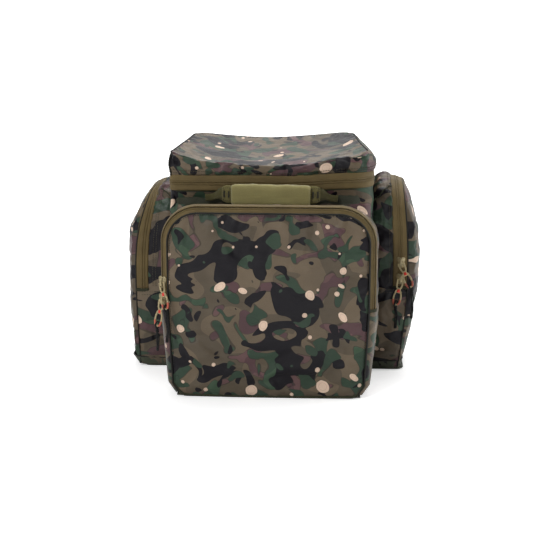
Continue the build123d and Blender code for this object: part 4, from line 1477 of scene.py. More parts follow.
def lid_seams():
    """Stitches above the tape, piping on the side and rear edges and down the left front corner."""
    rows = []
    out = MAIN_OUT[FRONT_IDS]
    for above in (3.4, 7.6):
        row = round(above / (TOP_Z.mean() - ZIP_HIGH) * (BAND_ROWS - 1))
        line = LID_BAND[FRONT_IDS, int(np.clip(row, 1, BAND_ROWS - 1))] + out * 0.45
        rows.append(stitches(f"lid_row_{above}", line, out, THREAD, WIDE_STITCH))
    join("lid_thread", rows)
    ids = loop_ids(FRONT_RIGHT + 4, FRONT_LEFT)
    edge = LID_BAND[ids, -1] + MAIN_OUT[ids] * 0.4 + [0, 0, 0.2]
    edge[:, 2] -= 1.7 * smooth((edge[:, 1] - 62) / 26.0)
    sweep("lid_edge_piping", resample(edge, 3.2), ellipse(1.25), PIPING)
    corner = LID_BAND[FRONT_LEFT] + MAIN_OUT[FRONT_LEFT] * 0.5
    sweep("lid_corner_piping", resample(corner, 2.5), ellipse(1.3), PIPING)


def lid_hinge():
    """Cloth that closes the lid's rear: an outer band on the fold and an inner gore."""
    ids = np.arange(len(FRONT_IDS) + 2, RING_COUNT - 2)
    share = np.linspace(0, 1, 22)
    z = np.linspace(ZIP_LOW - 2, ZIP_HIGH + 2.0, 22)
    push = (0.7 - 0.5 * np.sin(math.pi * share))[:, None]
    points = at_height(MAIN_RING[ids][:, None], z) + MAIN_OUT[ids][:, None] * push
    thicken(grid("lid_hinge_cloth", points, CAMO, grid_uv(points, (900, 3300))), 1.0)
    ids = np.nonzero(RING_Y > ZIP_SPLIT_Y - 4)[0]
    start = next((k for k in range(1, len(ids)) if ids[k] - ids[k - 1] != 1), 0)
    ids = np.roll(ids, -start)          # runs on across the outline's first point
    points = (at_height(MAIN_RING[ids][:, None], np.linspace(ZIP_MID - 4, ZIP_HIGH + 3, 26))
              - MAIN_OUT[ids][:, None] * [4.3, 2.4, 0])
    thicken(grid("lid_inner_gore", points, LINING, grid_uv(points)), 0.6)


def lid_underside():
    """Padded lining, its upright border, and a mesh pocket with its own edge binding."""
    outline = ring((143, 122), (139, 113), MAIN_FRONT + 7, MAIN_REAR - 9, (9, 28, 24, 24))
    flat, scale = shrunk(outline, 18)
    inward = 1 - scale
    z = (lid_height(flat[..., 0], flat[..., 1]) - 9.0 - 3.5 * np.sin(math.pi * inward / 2)
         + 1.2 * NOISE_A(at_height(flat, 9.0), 36.0, 2) * inward)
    lining = at_height(flat, z - (1 - smooth(inward / 0.06)) * 14)
    grid("lid_lining_cloth", lining, LINING, lining[..., :2], wrap=True)
    share = np.linspace(0, 1, 6)[:, None]
    lower = at_height(MAIN_RING, ZIP_HIGH + 0.5) - MAIN_OUT * 3.4
    upper = at_height(outline, lining[:, 0, 2] + 1)
    border = lower[:, None] * (1 - share) + upper[:, None] * share
    grid("lid_side_lining_cloth", border, LINING, grid_uv(border), wrap=True)
    flat, scale = shrunk(ring((128, 110), (124, 102), MAIN_FRONT + 20, MAIN_REAR - 22,
                              (10, 22, 20, 20)), 18)
    pocket = at_height(flat, lid_height(flat[..., 0], flat[..., 1]) - 15.0
                       - 5.5 * np.sin(math.pi * (1 - scale) / 2))
    thicken(grid("lid_mesh_cloth", pocket, OPEN_MESH, pocket[..., :2], wrap=True), 0.5)
    sweep("lid_mesh_binding", pocket[:, 0] + [0, 0, -0.3],
          [(-4, -0.5), (4, -0.5), (4, 0.6), (-4, 0.6)], BINDING, up=(0, 0, 1), closed=True)


lid_cloth()
lid_zip()
lid_seams()
lid_hinge()
lid_underside()


# ------------------------------------------------------------------ base
def base_sheet():
    x_out = BASE_X - 2.0
    front, rear = SIDE_FRONT - 0.5, SIDE_REAR + 0.5
    right = np.concatenate([
        arc(MAIN_X - 8, MAIN_FRONT + 8, 8, 270, 360), [(MAIN_X, front)],
        arc(x_out - 12, front + 12, 12, 270, 360), arc(x_out - 12, rear - 12, 12, 0, 90),
        [(MAIN_X, rear)], arc(MAIN_X - 12, MAIN_REAR - 12, 12, 0, 90)])
    plate("base_sheet", np.concatenate([right, right[::-1] * [-1, 1]]), 0.0, 3.0, BASE, 0.9)


def base_band(tag, points, flip=False, wrap=False):
    """A low band round the foot of the bag, with a seam along its upper edge."""
    band = grid(f"base_band_{tag}", points, BASE, grid_uv(points), flip=flip, wrap=wrap)
    thicken(band, 0.9)
    top = points[:, -1] + [0, 0, 0.4]
    sweep(f"base_band_seam_{tag}", top if wrap else resample(top, 3.2), ellipse(1.05, 7), PIPING,
          closed=wrap)


def side_base_band(side):
    rows = []
    for z in np.linspace(1.0, 13.6, 8):
        tuck = 1 - smooth(z / 5.0)
        x_out = shell_reach(z, side) + 1.3 - 1.6 * tuck
        y_out = 1.9 - 1.4 * tuck
        front, rear = SIDE_FRONT - y_out, SIDE_REAR + y_out
        line = np.concatenate([
            np.linspace((MAIN_X + 1, front), (x_out - 16, front), 14),
            arc(x_out - 15, front + 15, 15, 270, 360, 9)[1:],
            np.linspace((x_out, SIDE_FRONT + 18), (x_out, SIDE_REAR - 18), 22),
            arc(x_out - 15, rear - 15, 15, 0, 90, 9)[:-1],
            np.linspace((x_out - 16, rear), (MAIN_X + 1, rear), 14)])
        lift = 1.2 * smooth((line[:, 0] - MAIN_X - 20) / 40.0)
        rows.append(at_height(line * [side, 1], z + lift))
    base_band(SIDE_NAME[side], np.stack(rows, 1), flip=side < 0)


def main_base_band():
    outline = straight_ring(MAIN_X, MAIN_FRONT, MAIN_REAR, (8, 8, 14, 14))
    z = np.linspace(1.0, 13.6, 6)
    push = (1.5 - 1.2 * (1 - smooth(z / 5.0)))[:, None]
    points = at_height(outline[:, None], z) + ring_normals(outline)[:, None] * push
    base_band("main", points, wrap=True)


base_sheet()
for side in (1, -1):
    side_base_band(side)
main_base_band()

# ------------------------------------------------------------------ carry handle
# bow of the handle's webbing: (x, how far behind its middle)
HANDLE_BOW = [(40, 0), (52, 0.4), (60, 1.6), (66, 4.0), (71.5, 6.8)]
HANDLE_SECTION = [(-1.5, -12.4), (-0.6, -12.9), (0.9, -12.9), (1.7, -12.3), (1.8, -6), (1.8, 0),
                  (1.8, 6), (1.7, 12.3), (0.9, 12.9), (-0.6, 12.9), (-1.5, 12.4), (-1.6, 6),
                  (-1.6, 0), (-1.6, -6)]


def handle_path():
    right = np.array(HANDLE_BOW)
    bow = np.concatenate([right[::-1] * [-1, 1], right])
    return smooth_path(xyz(bow[:, 0], HANDLE_Y + bow[:, 1], HANDLE_Z), 3.0)


HANDLE_PATH = handle_path()


def handle_grip():
    """The wrinkled grip cloth round the handle, with a hem at each end."""
    path = resample([[-57, HANDLE_Y, HANDLE_Z], [-20, HANDLE_Y - 0.6, HANDLE_Z + 0.3],
                     [20, HANDLE_Y - 0.6, HANDLE_Z - 0.2], [57, HANDLE_Y, HANDLE_Z - 0.8]], 2.5)
    angle = np.linspace(0, 2 * math.pi, 40, endpoint=False)
    section = np.stack([signed_power(np.cos(angle), 0.62) * 4.9,
                        signed_power(np.sin(angle), 0.55) * 14.3], 1)
    across, lift = frames_along(path, (0, 0, 1))
    stations = lengths(path)
    from_end = np.minimum(stations, stations[-1] - stations)
    scale = (1 - 0.10 * bell(from_end, 3.0))[:, None, None]
    around = section[None, :, 0, None] * across[:, None] + section[None, :, 1, None] * lift[:, None]
    points = path[:, None] + around * scale
    wrinkle = NOISE_A(points * [0.9, 1.5, 1.5] + 900, 15.0, 3) * 0.9
    points += (points - path[:, None]) / 9.0 * wrinkle[..., None] * 0.9
    uv = uv_table(stations, lengths(section))
    grip = grid("handle_grip_cloth", points.transpose(1, 0, 2), GRIP, uv.transpose(1, 0, 2),
                wrap=True)
    thicken(grip, 1.0)
    join("handle_grip_hems", [sweep(f"hem_{end}", points[end], ellipse(0.8, 6), GRIP, closed=True)
                              for end in (0, -1)])


def crossed_box(start, end, half, place, normal, thread, size):
    """Stitch rows of a box with both diagonals, drawn on both sides of the bag."""
    corners = (((start, half), (end, half)), ((start, -half), (end, -half)),
               ((start, -half), (start, half)), ((end, -half), (end, half)),
               ((start, -half), (end, half)), ((start, half), (end, -half)))
    rows = []
    for side in (-1, 1):
        for k, (first, last) in enumerate(corners):
            flat = np.linspace(first, last, 8)
            line = place(side * flat[:, 0], flat[:, 1])
            rows.append(stitches(f"box_{side}_{k}", line, normal, thread, size))
    return rows


def on_handle(x, z):
    y = np.interp(x, HANDLE_PATH[:, 0], HANDLE_PATH[:, 1])
    return xyz(x, y - 1.75, HANDLE_Z + z)


def handle_thread():
    join("handle_thread", crossed_box(59.0, 70.5, 9.5, on_handle, FORWARD, THREAD,
                                      (2.8, 2.2, 0.7, 0.5)))
    tacks = []
    for side in (-1, 1):
        for x in (side * 61.5, side * 68.5):
            for k in range(7):
                line = on_handle(np.array([x - 1.6, x + 1.6]), -4.2 + k * 1.4) + FORWARD * 0.3
                tacks.append(stitches(f"tack_{x}_{k}", line, FORWARD, THREAD_DARK,
                                      (3.2, 3.2, 1.2, 0.7)))
    join("handle_bar_tacks", tacks)


def handle_end(side):
    """Webbing from an end of the handle back to the front wall."""
    # (x, y, below the handle's middle)
    bend = [(70.0, HANDLE_Y + 6.2, 0), (75, HANDLE_Y + 9.5, 1.5), (80, HANDLE_Y + 14.0, 4),
            (85, HANDLE_Y + 17.6, 7), (90, -100.2, 8.5), (98, -99.2, 9.0)]
    path = smooth_path([(side * x, y, HANDLE_Z - below) for x, y, below in bend], 1.5, 4)
    # The ends take the darker webbing copy: painted shade where they run back to the wall.
    sweep(f"handle_end_{SIDE_NAME[side]}", path, upright_section(1.1, 12.3), WEB_PAINTED_SHADE,
          up=(0, 0, 1), scale=0.78 - 0.36 * smooth((np.abs(path[:, 0]) - 71) / 12))


sweep("handle_webbing", HANDLE_PATH, HANDLE_SECTION, WEB_GRIP, up=(0, 0, 1),
      scale=1 - 0.24 * smooth((np.abs(HANDLE_PATH[:, 0]) - 65) / 8.0))
handle_grip()
handle_thread()
for side in (-1, 1):
    handle_end(side)


# ------------------------------------------------------------------ back pad and strap yoke
def back_pad():
    """A puffed mesh pad divided by stitched channels, and its binding."""
    pad_lo, pad_hi = span("back_pad")
    half_x, half_z = pad_hi[0], (pad_hi[2] - pad_lo[2]) / 2
    u = np.sin(np.linspace(-math.pi / 2, math.pi / 2, 90))[:, None]
    v = np.sin(np.linspace(-math.pi / 2, math.pi / 2, 66))[None, :]
    rounding = 0.10
    x = half_x * u * (1 - rounding * v ** 6)
    z = ((pad_lo[2] + pad_hi[2]) / 2
         + half_z * v * (1 - rounding * u ** 6 * half_x / half_z * 0.6))
    puff = np.maximum(0, 1 - np.abs(u) ** 7) ** 0.5 * np.maximum(0, 1 - np.abs(v) ** 7) ** 0.5
    channel = bell(x, 8.0) + bell(np.abs(x) - 62 - 8 * v ** 2, 5.0) * 0.75
    for level in (-0.33, 0.33):
        channel += 0.8 * bell(v - level - 0.05 * np.cos(u * 3), 0.055)
    depth = pad_hi[1] - MAIN_REAR - 0.8
    y = ((MAIN_REAR + 0.5) + depth * puff * (1 - 0.62 * np.clip(channel, 0, 1.0))
         + 0.6 * NOISE_A(xyz(x, 0.0, z), 22.0, 2) * puff)
    points = xyz(x, y, z)
    pad = grid("back_pad_mesh_cloth", points, AIR_MESH, points[..., ::2], flip=True)
    thicken(pad, 0.8)
    SIMS.append((pad, dict(shrink=-0.02, pressure=0.4, cap=1.6, gravity=0.2)))
    border = np.concatenate([points[:, 0], points[-1, 1:], points[-2::-1, -1],
                             points[0, -2:0:-1], points[:1, 0]])
    border[:, 1] = MAIN_REAR + 1.9
    sweep("back_pad_binding", resample(border, 4.0)[:-1],
          [(-3.0, -1.2), (3.0, -1.2), (3.0, 0.9), (1.6, 1.7), (-1.6, 1.7), (-3.0, 0.9)],
          BINDING, up=(0, 1, 0), closed=True)


def strap_yoke():
    low_corner, (right, rear, top) = span("strap_yoke")
    left, bottom = low_corner[0], low_corner[2]
    across = np.linspace(left, right, 50)
    x, z = across[:, None], np.linspace(bottom, top, 9)[None, :]
    y = (rear - 0.4 + 0.6 * np.sin(np.pi * (z - bottom) / (top - bottom))
         + 0.25 * NOISE_B(xyz(x, 0.0, z), 12.0, 2))
    points = xyz(x, y, z)
    thicken(grid("strap_yoke_cloth", points, WEB, points[..., ::2], flip=True), 2.0)
    join("strap_yoke_thread", [
        stitches(f"yoke_row_{row}", xyz(across[1:-1], rear + 0.45, row), (0, 1, 0), THREAD,
                 WIDE_STITCH) for row in (bottom + 3, top - 3)])


back_pad()
strap_yoke()

# ------------------------------------------------------------------ shoulder straps
# stations down the right strap: (height, x of its middle, width, half thickness)
STRAP = np.array([(256, 57, 52, 1.6), (251, 57, 54, 2.2), (244, 58.5, 57, 4.2),
                  (225, 63, 60, 5.4), (180, 76, 60, 5.6), (140, 88, 56, 5.6),
                  (112, 92, 50, 5.2), (90, 92, 44, 4.0)], float)
STRAP_SAG = [(247.5, 109.75), (175.0, 126.5), (91.0, 118.5)]       # (height, y)


def strap_y(z):
    """Parabola through the three points of STRAP_SAG."""
    return sum(y * np.prod([(z - other) / (height - other) for other, _ in STRAP_SAG
                            if other != height], axis=0) for height, y in STRAP_SAG)


def shoulder_strap(side):
    """The pad with its binding, and the webbing and stitches on its rear face."""
    tag, mirror = SIDE_NAME[side], np.array([side, 1, 1])
    z = runs((256, 244, 8), (244, 90, 62), closed=True)
    at_top = smooth((z - 241) / 13.0)
    y = strap_y(z) * (1 - at_top) + (MAIN_REAR + 4.2) * at_top
    x, width, thick = (np.interp(-z, -STRAP[:, 0], STRAP[:, k]) for k in (1, 2, 3))
    for _ in range(6):
        for line in (x, y):
            line[1:-1] = (line[:-2] + 2 * line[1:-1] + line[2:]) / 4
    half = width[:, None] / 2
    thick = thick[:, None]
    centre = xyz(x, y, z)
    ahead = tangents(centre)
    across = unit(np.array([1.0, 0, 0]) - ahead * ahead[:, :1])
    outward = np.cross(across, ahead)
    outward *= np.sign(outward[:, 1])[:, None]

    # flattened oval section, pinched just inside both edges
    around = 36
    angle = np.linspace(0, 2 * math.pi, around, endpoint=False)
    sine = np.sin(angle)
    wide = signed_power(np.cos(angle), 0.8)
    tall = (signed_power(sine, 0.55) * (1 - 0.45 * bell(np.abs(wide) - 0.80, 0.07))
            * np.where(np.abs(wide) > 0.9, 0.5, 1.0))
    points = (centre[:, None] + wide[:, None] * (half * across)[:, None]
              + tall[:, None] * (thick * outward)[:, None])
    ripple = NOISE_C(points * [1, 1, 0.7] + 40 * (side + 2), 20.0, 3) * 1.1
    points += outward[:, None] * (ripple * np.abs(tall))[..., None]
    points, centre, across, outward = (part * mirror for part in (points, centre, across, outward))
    uv = uv_table(lengths(centre) + 60 * (side + 1), wide * 30 + 5100)
    pad = grid(f"{tag}_shoulder_strap_cloth", points.transpose(1, 0, 2), [CAMO, AIR_MESH],
               uv.transpose(1, 0, 2), wrap=True, flip=side > 0)
    # mesh on the face towards the bag
    for face in pad.data.polygons:
        columns = [i // len(centre) for i in face.vertices]
        if max(columns) - min(columns) >= around // 2 or sum(sine[k] for k in columns) < 0.05:
            face.material_index = 1
    bm = bmesh.new()
    bm.from_mesh(pad.data)
    bmesh.ops.holes_fill(bm, edges=[edge for edge in bm.edges if edge.is_boundary], sides=0)
    bm.to_mesh(pad.data)
    bm.free()

    section = [(-1.6, -1.9), (1.2, -2.1), (2.0, -1.0), (2.0, 1.0), (1.2, 2.1), (-1.6, 1.9)]
    join(f"{tag}_strap_binding", [
        sweep(f"edge_{edge}", resample(centre + across * (edge * half), 4.0), section, BINDING,
              up=outward[len(outward) // 2]) for edge in (1, -1)])
    shown = (z < 205) & (z > 91)
    web = centre[shown] + outward[shown] * (thick[shown] + 1.6)
    sweep(f"{tag}_strap_webbing", resample(web, 4.0), web_section(12.5, 0.9), WEB, up=(0, 1, 0))
    seam, facing = 10.6, (0, 1, 0.1)
    rows = []
    for offset in (-seam, seam):
        line = web + across[shown] * offset + outward[shown] * 1.0
        rows.append(stitches(f"long_row_{offset}", line[1:-1], facing, THREAD,
                             (3.8, 2.9, 0.8, 0.55)))
    for height in (205, 200):
        i = int(np.argmin(np.abs(z - height)))
        line = (centre[i] + outward[i] * (thick[i] + 2.6)
                + across[i] * np.linspace(-seam, seam, 8)[:, None])
        rows.append(stitches(f"cross_row_{height}", line, facing, THREAD_DARK,
                             (2.4, 2.2, 0.9, 0.6)))
    join(f"{tag}_strap_thread", rows)


def ladder_lock(tag, lock_lo, lock_hi):
    """Two side rails and four cross bars."""
    x, y, z = (lock_lo + lock_hi) / 2
    top, bottom = lock_hi[2], lock_lo[2]
    bars = []
    for edge in (-1, 1):
        rail = smooth_path([[x + edge * 13.4, y - 0.5, top - 0.5], [x + edge * 13.6, y + 1.2, z],
                            [x + edge * 13.2, y + 0.2, bottom + 1.2]], 1.6)
        bars.append(sweep(f"rail_{edge}", rail, ellipse(2.2, 10, 1.7), BUCKLE, up=(0, 1, 0)))
    for height, back, radius in ((top - 1.8, -0.4, 1.7), (z + 3.6, 1.5, 1.5), (z - 2.8, 1.5, 1.5),
                                 (bottom + 1.8, 0.3, 2.1)):
        bar = resample([[x - 13.6, y + back, height], [x, y + back + 0.3, height],
                        [x + 13.6, y + back, height]], 2.5)
        bars.append(sweep(f"bar_{height}", bar, ellipse(radius, 10), BUCKLE, up=(0, 1, 0)))
    join(f"{tag}_ladder_lock_frame", bars)


def lower_strap(side):
    """The lock, the webbing up to it from the foot of the bag, its loose tail and its patch."""
    tag = SIDE_NAME[side]
    lock_lo, lock_hi = span(f"{tag}_ladder_lock")
    ladder_lock(tag, lock_lo, lock_hi)
    x, y, z = (lock_lo + lock_hi) / 2
    bottom = lock_lo[2]
    path = smooth_path([[side * 134, MAIN_REAR + 2.2, 27], [side * 131, MAIN_REAR + 2.8, 36],
                        [side * 120, MAIN_REAR + 5.2, 50], [side * 107, 111.0, 64],
                        [side * 96, 116.5, 74], [x, y - 2.2, z + 0.5]], 2.5, 5)
    ahead = tangents(path)
    sweep(f"{tag}_lower_webbing", path, web_section(11.5, 0.8), WEB,
          up=unit(np.array([0, 1.0, 0]) - ahead * ahead[:, 1:2]))
    tail = smooth_path([[x, y - 1.0, z - 2], [x, y + 3.6, z + 1.0],
                        [x + side * 0.5, y + 4.4, bottom - 4], [x + side * 2, y + 2.6, bottom - 24],
                        [x + side * 3, y - 1.0, bottom - 44]], 2.5, 4)
    up = (0, 1, 0.05)
    sweep(f"{tag}_webbing_tail", tail, web_section(11.2, 0.8), WEB, up=up)
    sweep(f"{tag}_tail_hem", tail[-6:] + [0, 1.3, 0], flat_section(11.4, 0.9), WEB, up=up)
    # triangular patch sewn on at the lower corner
    u, v = np.linspace(0.02, 1, 14)[:, None], np.linspace(0, 1, 8)[None, :]
    patch = xyz(side * (118 + 28 * u),
                MAIN_REAR + 1.6 + 0.8 * np.sin(math.pi * u) * np.sin(math.pi * v),
                20.8 + 24 * u * v)
    thicken(grid(f"{tag}_corner_patch", patch, BASE, patch[..., ::2], flip=side > 0), 1.1)


for side in (1, -1):
    shoulder_strap(side)
    lower_strap(side)


# ------------------------------------------------------------------ rear grab handle
def rear_handle():
    # (x, in front of the handle's rearmost line)
    bow = [(-40, 3.6), (-30, 0.8), (-22, 0), (22, 0), (30, 0.8), (40, 3.6)]
    path = smooth_path([(x, GRAB_Y - inset, GRAB_Z) for x, inset in bow], 2.5)
    up = (0, 0, 1)
    sweep("rear_handle_webbing", path, upright_section(1.2, 12.4), WEB, up=up)
    sweep("rear_handle_fold", resample(path[6:-6] + [0, 1.3, 0], 3.0),
          [(-1.6, -8.0), (1.6, -8.0), (2.1, 0), (1.6, 8.0), (-1.6, 8.0)], WEB, up=up)
    for side in (-1, 1):
        bend = [(39, GRAB_Y - 3.3), (44, GRAB_Y - 7.0), (50, GRAB_Y - 13.5),
                (56, MAIN_REAR + 2.6), (71, MAIN_REAR + 2.2)]
        end = smooth_path([(side * x, y, GRAB_Z) for x, y in bend], 1.5, 4)
        sweep(f"rear_handle_end_{SIDE_NAME[side]}", end, flat_section(1.1, 12.3), WEB, up=up)
    join("rear_handle_thread", crossed_box(
        57.5, 69.5, 9.5, lambda x, z: xyz(x, MAIN_REAR + 3.5, GRAB_Z + z), (0, 1, 0),
        THREAD_DARK, (2.8, 2.2, 0.8, 0.5)))


rear_handle()

# ------------------------------------------------------------------ zip sliders and pulls
# A slider's own axes: +y along the zip, +z out of the cloth, x across.
PIN = np.array([0, -1.2, 3.5])      # the pin a pull hangs from


def carry(piece, origin, axes):
    """Move a mesh drawn in its own axes to its place."""
    matrix = np.eye(4)
    matrix[:3, :3], matrix[:3, 3] = axes, np.asarray(origin) * MM
    piece.data.transform(Matrix(matrix.tolist()))
    piece.data.update()


def turn_x(angle):
    cos, sin = math.cos(angle), math.sin(angle)
    return np.array([[1, 0, 0], [0, cos, -sin], [0, sin, cos]])


def turn_z(angle):
    cos, sin = math.cos(angle), math.sin(angle)
    return np.array([[cos, -sin, 0], [sin, cos, 0], [0, 0, 1.0]])


# right half of the slider's outline, (x, y)
SLIDER_HALF = [(3.0, -8.2), (4.4, -6.8), (4.7, -2.0), (6.2, 3.0), (6.3, 6.2), (4.8, 8.2),
               (1.5, 8.4), (0.8, 7.4)]
# bridge over the slider, (y, z)
SLIDER_BRIDGE = [(-5.6, 1.8), (-5.5, 3.8), (-4.6, 5.3), (-2.4, 6.0), (2.4, 6.0), (4.6, 5.3),
                 (5.5, 3.8), (5.6, 1.8)]
# frames of the pull, (x, y): the open one at the pin and the closed ring below it
PULL_SHACKLE = [(-4.1, -0.2), (-4.2, -4), (-3.7, -9), (-3.2, -12.2), (-2.2, -13.6), (0, -13.9),
                (2.2, -13.6), (3.2, -12.2), (3.7, -9), (4.2, -4), (4.1, -0.2)]
PULL_RING = [(0, -15.8), (-2.6, -16.3), (-3.9, -19), (-5.3, -24.5), (-5.45, -32), (-4.6, -36),
             (-2.8, -38.4), (0, -38.9), (2.8, -38.4), (4.6, -36), (5.45, -32), (5.3, -24.5),
             (3.9, -19), (2.6, -16.3)]
# cord through the ring, (x, y, z)
CORD_LOOP = [(-1.5, -41.5, 0.4), (-1.9, -39.5, 1.7), (-2.2, -36.6, 1.9), (-1.4, -33.4, 1.0),
             (0, -32.3, 0.0), (1.4, -33.4, -1.0), (2.2, -36.6, -1.9), (1.9, -39.5, -1.7),
             (1.5, -41.5, -0.4)]


def build_slider(name):
    half = np.array(SLIDER_HALF)
    left = half[::-1] * [-1, 1]
    outline = np.concatenate([left[-1:], half, left[:-1]])
    parts = [plate("slider_top", outline, 0.95, 2.25, SLIDER, 0.45),
             plate("slider_low", outline * [0.86, 0.9], -5.2, -4.1, SLIDER, 0.35)]
    for edge in (-1, 1):
        rail = resample([[edge * x, y, 0.6] for x, y in
                         ((4.2, -7.0), (4.4, -2.2), (5.8, 2.8), (5.9, 6.0))], 1.5)
        parts.append(sweep(f"slider_rail_{edge}", rail, rounded_rect(0.42, 0.75, 0.3), SLIDER,
                           up=(0, 0, 1)))
    parts.append(plate("slider_post", [(-0.44, 3.5), (0.44, 3.5), (0.44, 6.9), (-0.44, 6.9)],
                       -4.6, 1.4, SLIDER, 0.0))
    bridge = smooth_path([(0, y, z) for y, z in SLIDER_BRIDGE], 0.7, 4)
    parts.append(sweep("slider_bridge", bridge, rounded_rect(0.62, 1.5, 0.4), SLIDER,
                       up=(1, 0, 0)))
    parts.append(sweep("slider_rim", resample([[-3.6, -7.4, 2.25], [3.6, -7.4, 2.25]], 1.2),
                       ellipse(0.45), SLIDER, up=(0, 0, 1)))
    return join(name, parts)


def pull_body(turn):
    """The rigid part of a pull: metal frames, red inset, cord loop and red tips."""
    up = (0, 0, 1)
    bar = rounded_rect(1.25, 1.0, 0.5)
    shackle = smooth_path([(x, y, 0) for x, y in PULL_SHACKLE], 0.9, 3)
    parts = [sweep("pull_shackle", shackle, bar, PULL, up=up)]
    ring_line = resample([(x, y, 0) for x, y in PULL_RING + PULL_RING[:1]], 0.9)[:-1]
    for _ in range(3):
        ring_line = (np.roll(ring_line, 1, 0) + 2 * ring_line + np.roll(ring_line, -1, 0)) / 4
    parts.append(sweep("pull_ring", ring_line, bar, PULL, up=up, closed=True))
    parts.append(plate("pull_middle", [(-3.0, -12.6), (3.0, -12.6), (3.1, -16), (3.9, -20.6),
                                       (-3.9, -20.6), (-3.1, -16)], -0.85, 0.85, PULL, 0.3))
    parts.append(sweep("pull_pin", resample([[-4.8, 0, 0], [4.8, 0, 0]], 0.8),
                       ellipse(0.92, 10), PULL, up=up))
    for edge in (-1, 1):
        parts.append(sweep(f"pull_knob_{edge}",
                           resample([[edge * 3.9, 0, 0], [edge * 5.0, 0, 0]], 0.4),
                           ellipse(1.25, 10), PULL, up=up))
    parts.append(plate("pull_inset", [(-2.5, -19.6), (2.5, -19.6), (2.1, -14.4), (-2.1, -14.4)],
                       -1.15, 1.15, RED, 0.3))
    parts.append(sweep("pull_cord_loop", smooth_path(CORD_LOOP, 0.7, 3), ellipse(1.15), CORD))
    for edge in (-1, 1):
        line = smooth_path([[edge * 2.2, -38.6, 0], [edge * 4.3, -36.4, 0],
                            [edge * 5.3, -32.5, 0], [edge * 5.35, -30.5, 0]], 0.8, 2)
        parts.append(sweep(f"pull_tip_{edge}", line, rounded_rect(1.4, 1.15, 0.5), TIP, up=up))
    for part in parts:
        carry(part, PIN, turn)
    return parts


def build_pull(name, lean, outward, tail, droop):
    """A pull turned by lean and outward (degrees), with a cord hanging tail below it; droop is
    where the cord's end drifts to. A long cord has two strands, a short one is a loop."""
    turn = turn_z(math.radians(lean)) @ turn_x(math.radians(-outward))
    parts = pull_body(turn)
    end = PIN + turn @ np.array([0, -42.4, 0])
    is_long = tail > 20
    across, lift = turn @ np.array([1.0, 0, 0]), turn @ np.array([0, 0, 1.0])

    def hang(below):
        share = below / tail
        sway = 1.6 * math.sin(3.0 * share) if is_long else 0.0
        return end + np.array([sway, -below, 0]) + np.array(droop, float) * share ** 1.6

    def start(edge):
        return PIN + turn @ np.array([edge * 1.4, -40.4, -edge * 0.9])

    if is_long:
        for edge in (-1, 1):
            line = [start(edge), end + across * edge * 1.0, hang(5) + across * edge * 0.9]
            for below in np.linspace(9, tail - 1.5, 12):
                line.append(hang(below)
                            + across * edge * (1.25 - 0.35 * math.sin(below * 0.28 + edge))
                            + lift * 0.4 * math.sin(below * 0.2 + edge))
            parts.append(sweep(f"strand_{edge}", smooth_path(line, 1.4, 3), ellipse(1.15), CORD))
        tip = resample([hang(tail - 4.5), hang(tail - 2), hang(tail)], 1.2)
        parts.append(sweep("strand_tip", tip, ellipse(1.5, 10, 2.3), CORD, up=(0, 0, 1)))
    else:
        line = [start(-1), end - across * 1.4, hang(5) - across * 2.6,
                hang(tail - 3) - across * 3.0, hang(tail), hang(tail - 3) + across * 3.0,
                hang(5) + across * 2.6, end + across * 1.4, start(1)]
        parts.append(sweep("strand", smooth_path(line, 1.2, 3), ellipse(1.2), CORD))
    # turns of the knot
    for k, below in enumerate((1.4, 3.2, 5.0) if is_long else (1.6,)):
        axis = unit(np.array([math.sin(k * 2.1) * 0.35, -1, math.cos(k * 1.7) * 0.35]))
        first = unit(np.cross(axis, [0, 0, 1.0]))
        second = np.cross(axis, first)
        angle = np.linspace(0, 2 * math.pi, 18, endpoint=False)[:, None]
        loop = hang(below) + np.cos(angle) * first * 1.9 + np.sin(angle) * second * 1.5
        parts.append(sweep(f"knot_{k}", loop, ellipse(1.0, 7), CORD, closed=True, up=axis))
    return join(name, parts)


# zip: (direction out of the cloth, direction along the zip, its two sliders)
SLIDERS = {
    "front": (-np.array([BAND_DEPTH, BAND, 0]) / math.hypot(BAND_DEPTH, BAND), (0, 0, 1),
              ("upper", "lower")),
    "right": ((0, -1, 0), (0, 0, 1), ("upper", "lower")),
    "left": ((0, 1, 0), (0, 0, 1), ("upper", "lower")),
    "lid": ((-1, 0, 0), (0, 1, 0), ("rear", "front")),
}
for zip_name, (out, along, labels) in SLIDERS.items():
    axes = np.stack([np.cross(along, out), along, out], 1).astype(float)
    on_lid = zip_name == "lid"
    droop = (-5.0, 0, -1.0) if on_lid else (0, 0, 0)
    for label, lean, outward, tail in zip(labels, (24, -10), (16, 5), (46, 34)):
        origin = joint_mm(f"{zip_name}_pull_{label}_swing") - axes @ PIN
        carry(build_slider(f"{zip_name}_slider_{label}_body"), origin, axes)
        pull = build_pull(f"{zip_name}_pull_{label}_piece", lean=lean, outward=outward,
                          tail=12 if on_lid else tail, droop=droop)
        carry(pull, origin, axes)

# ------------------------------------------------------------------ raised corner of the lid
LID_PIECES = ["lid_cloth", "lid_thread", "lid_edge_piping", "lid_corner_piping",
              "lid_zip_upper_tape", "lid_zip_upper_coil", "lid_lining_cloth",
              "lid_side_lining_cloth", "lid_mesh_cloth", "lid_mesh_binding"]


def raise_corner(piece):
    """The right front corner of the lid sits a little higher."""
    places = coords(piece.data).astype(np.float32) / MM
    share = (smooth((places[:, 0] - 10) / 125.0)
             * (1 - smooth((places[:, 1] - MAIN_FRONT) / 120.0))
             * smooth((places[:, 2] - 252) / 42.0))
    places[:, 2] += 6.0 * share
    set_coords(piece.data, places * MM)


for name in LID_PIECES + ["main_body_cloth", "main_lining_cloth", "main_rim_binding",
                          "lid_zip_lower_tape", "lid_zip_lower_coil"]:
    raise_corner(PIECES[name])

# ------------------------------------------------------------------ cloth simulation
MOVED = {}      # cloth name: (places before, how far each vertex moved), in metres
LAST_FRAME = 16


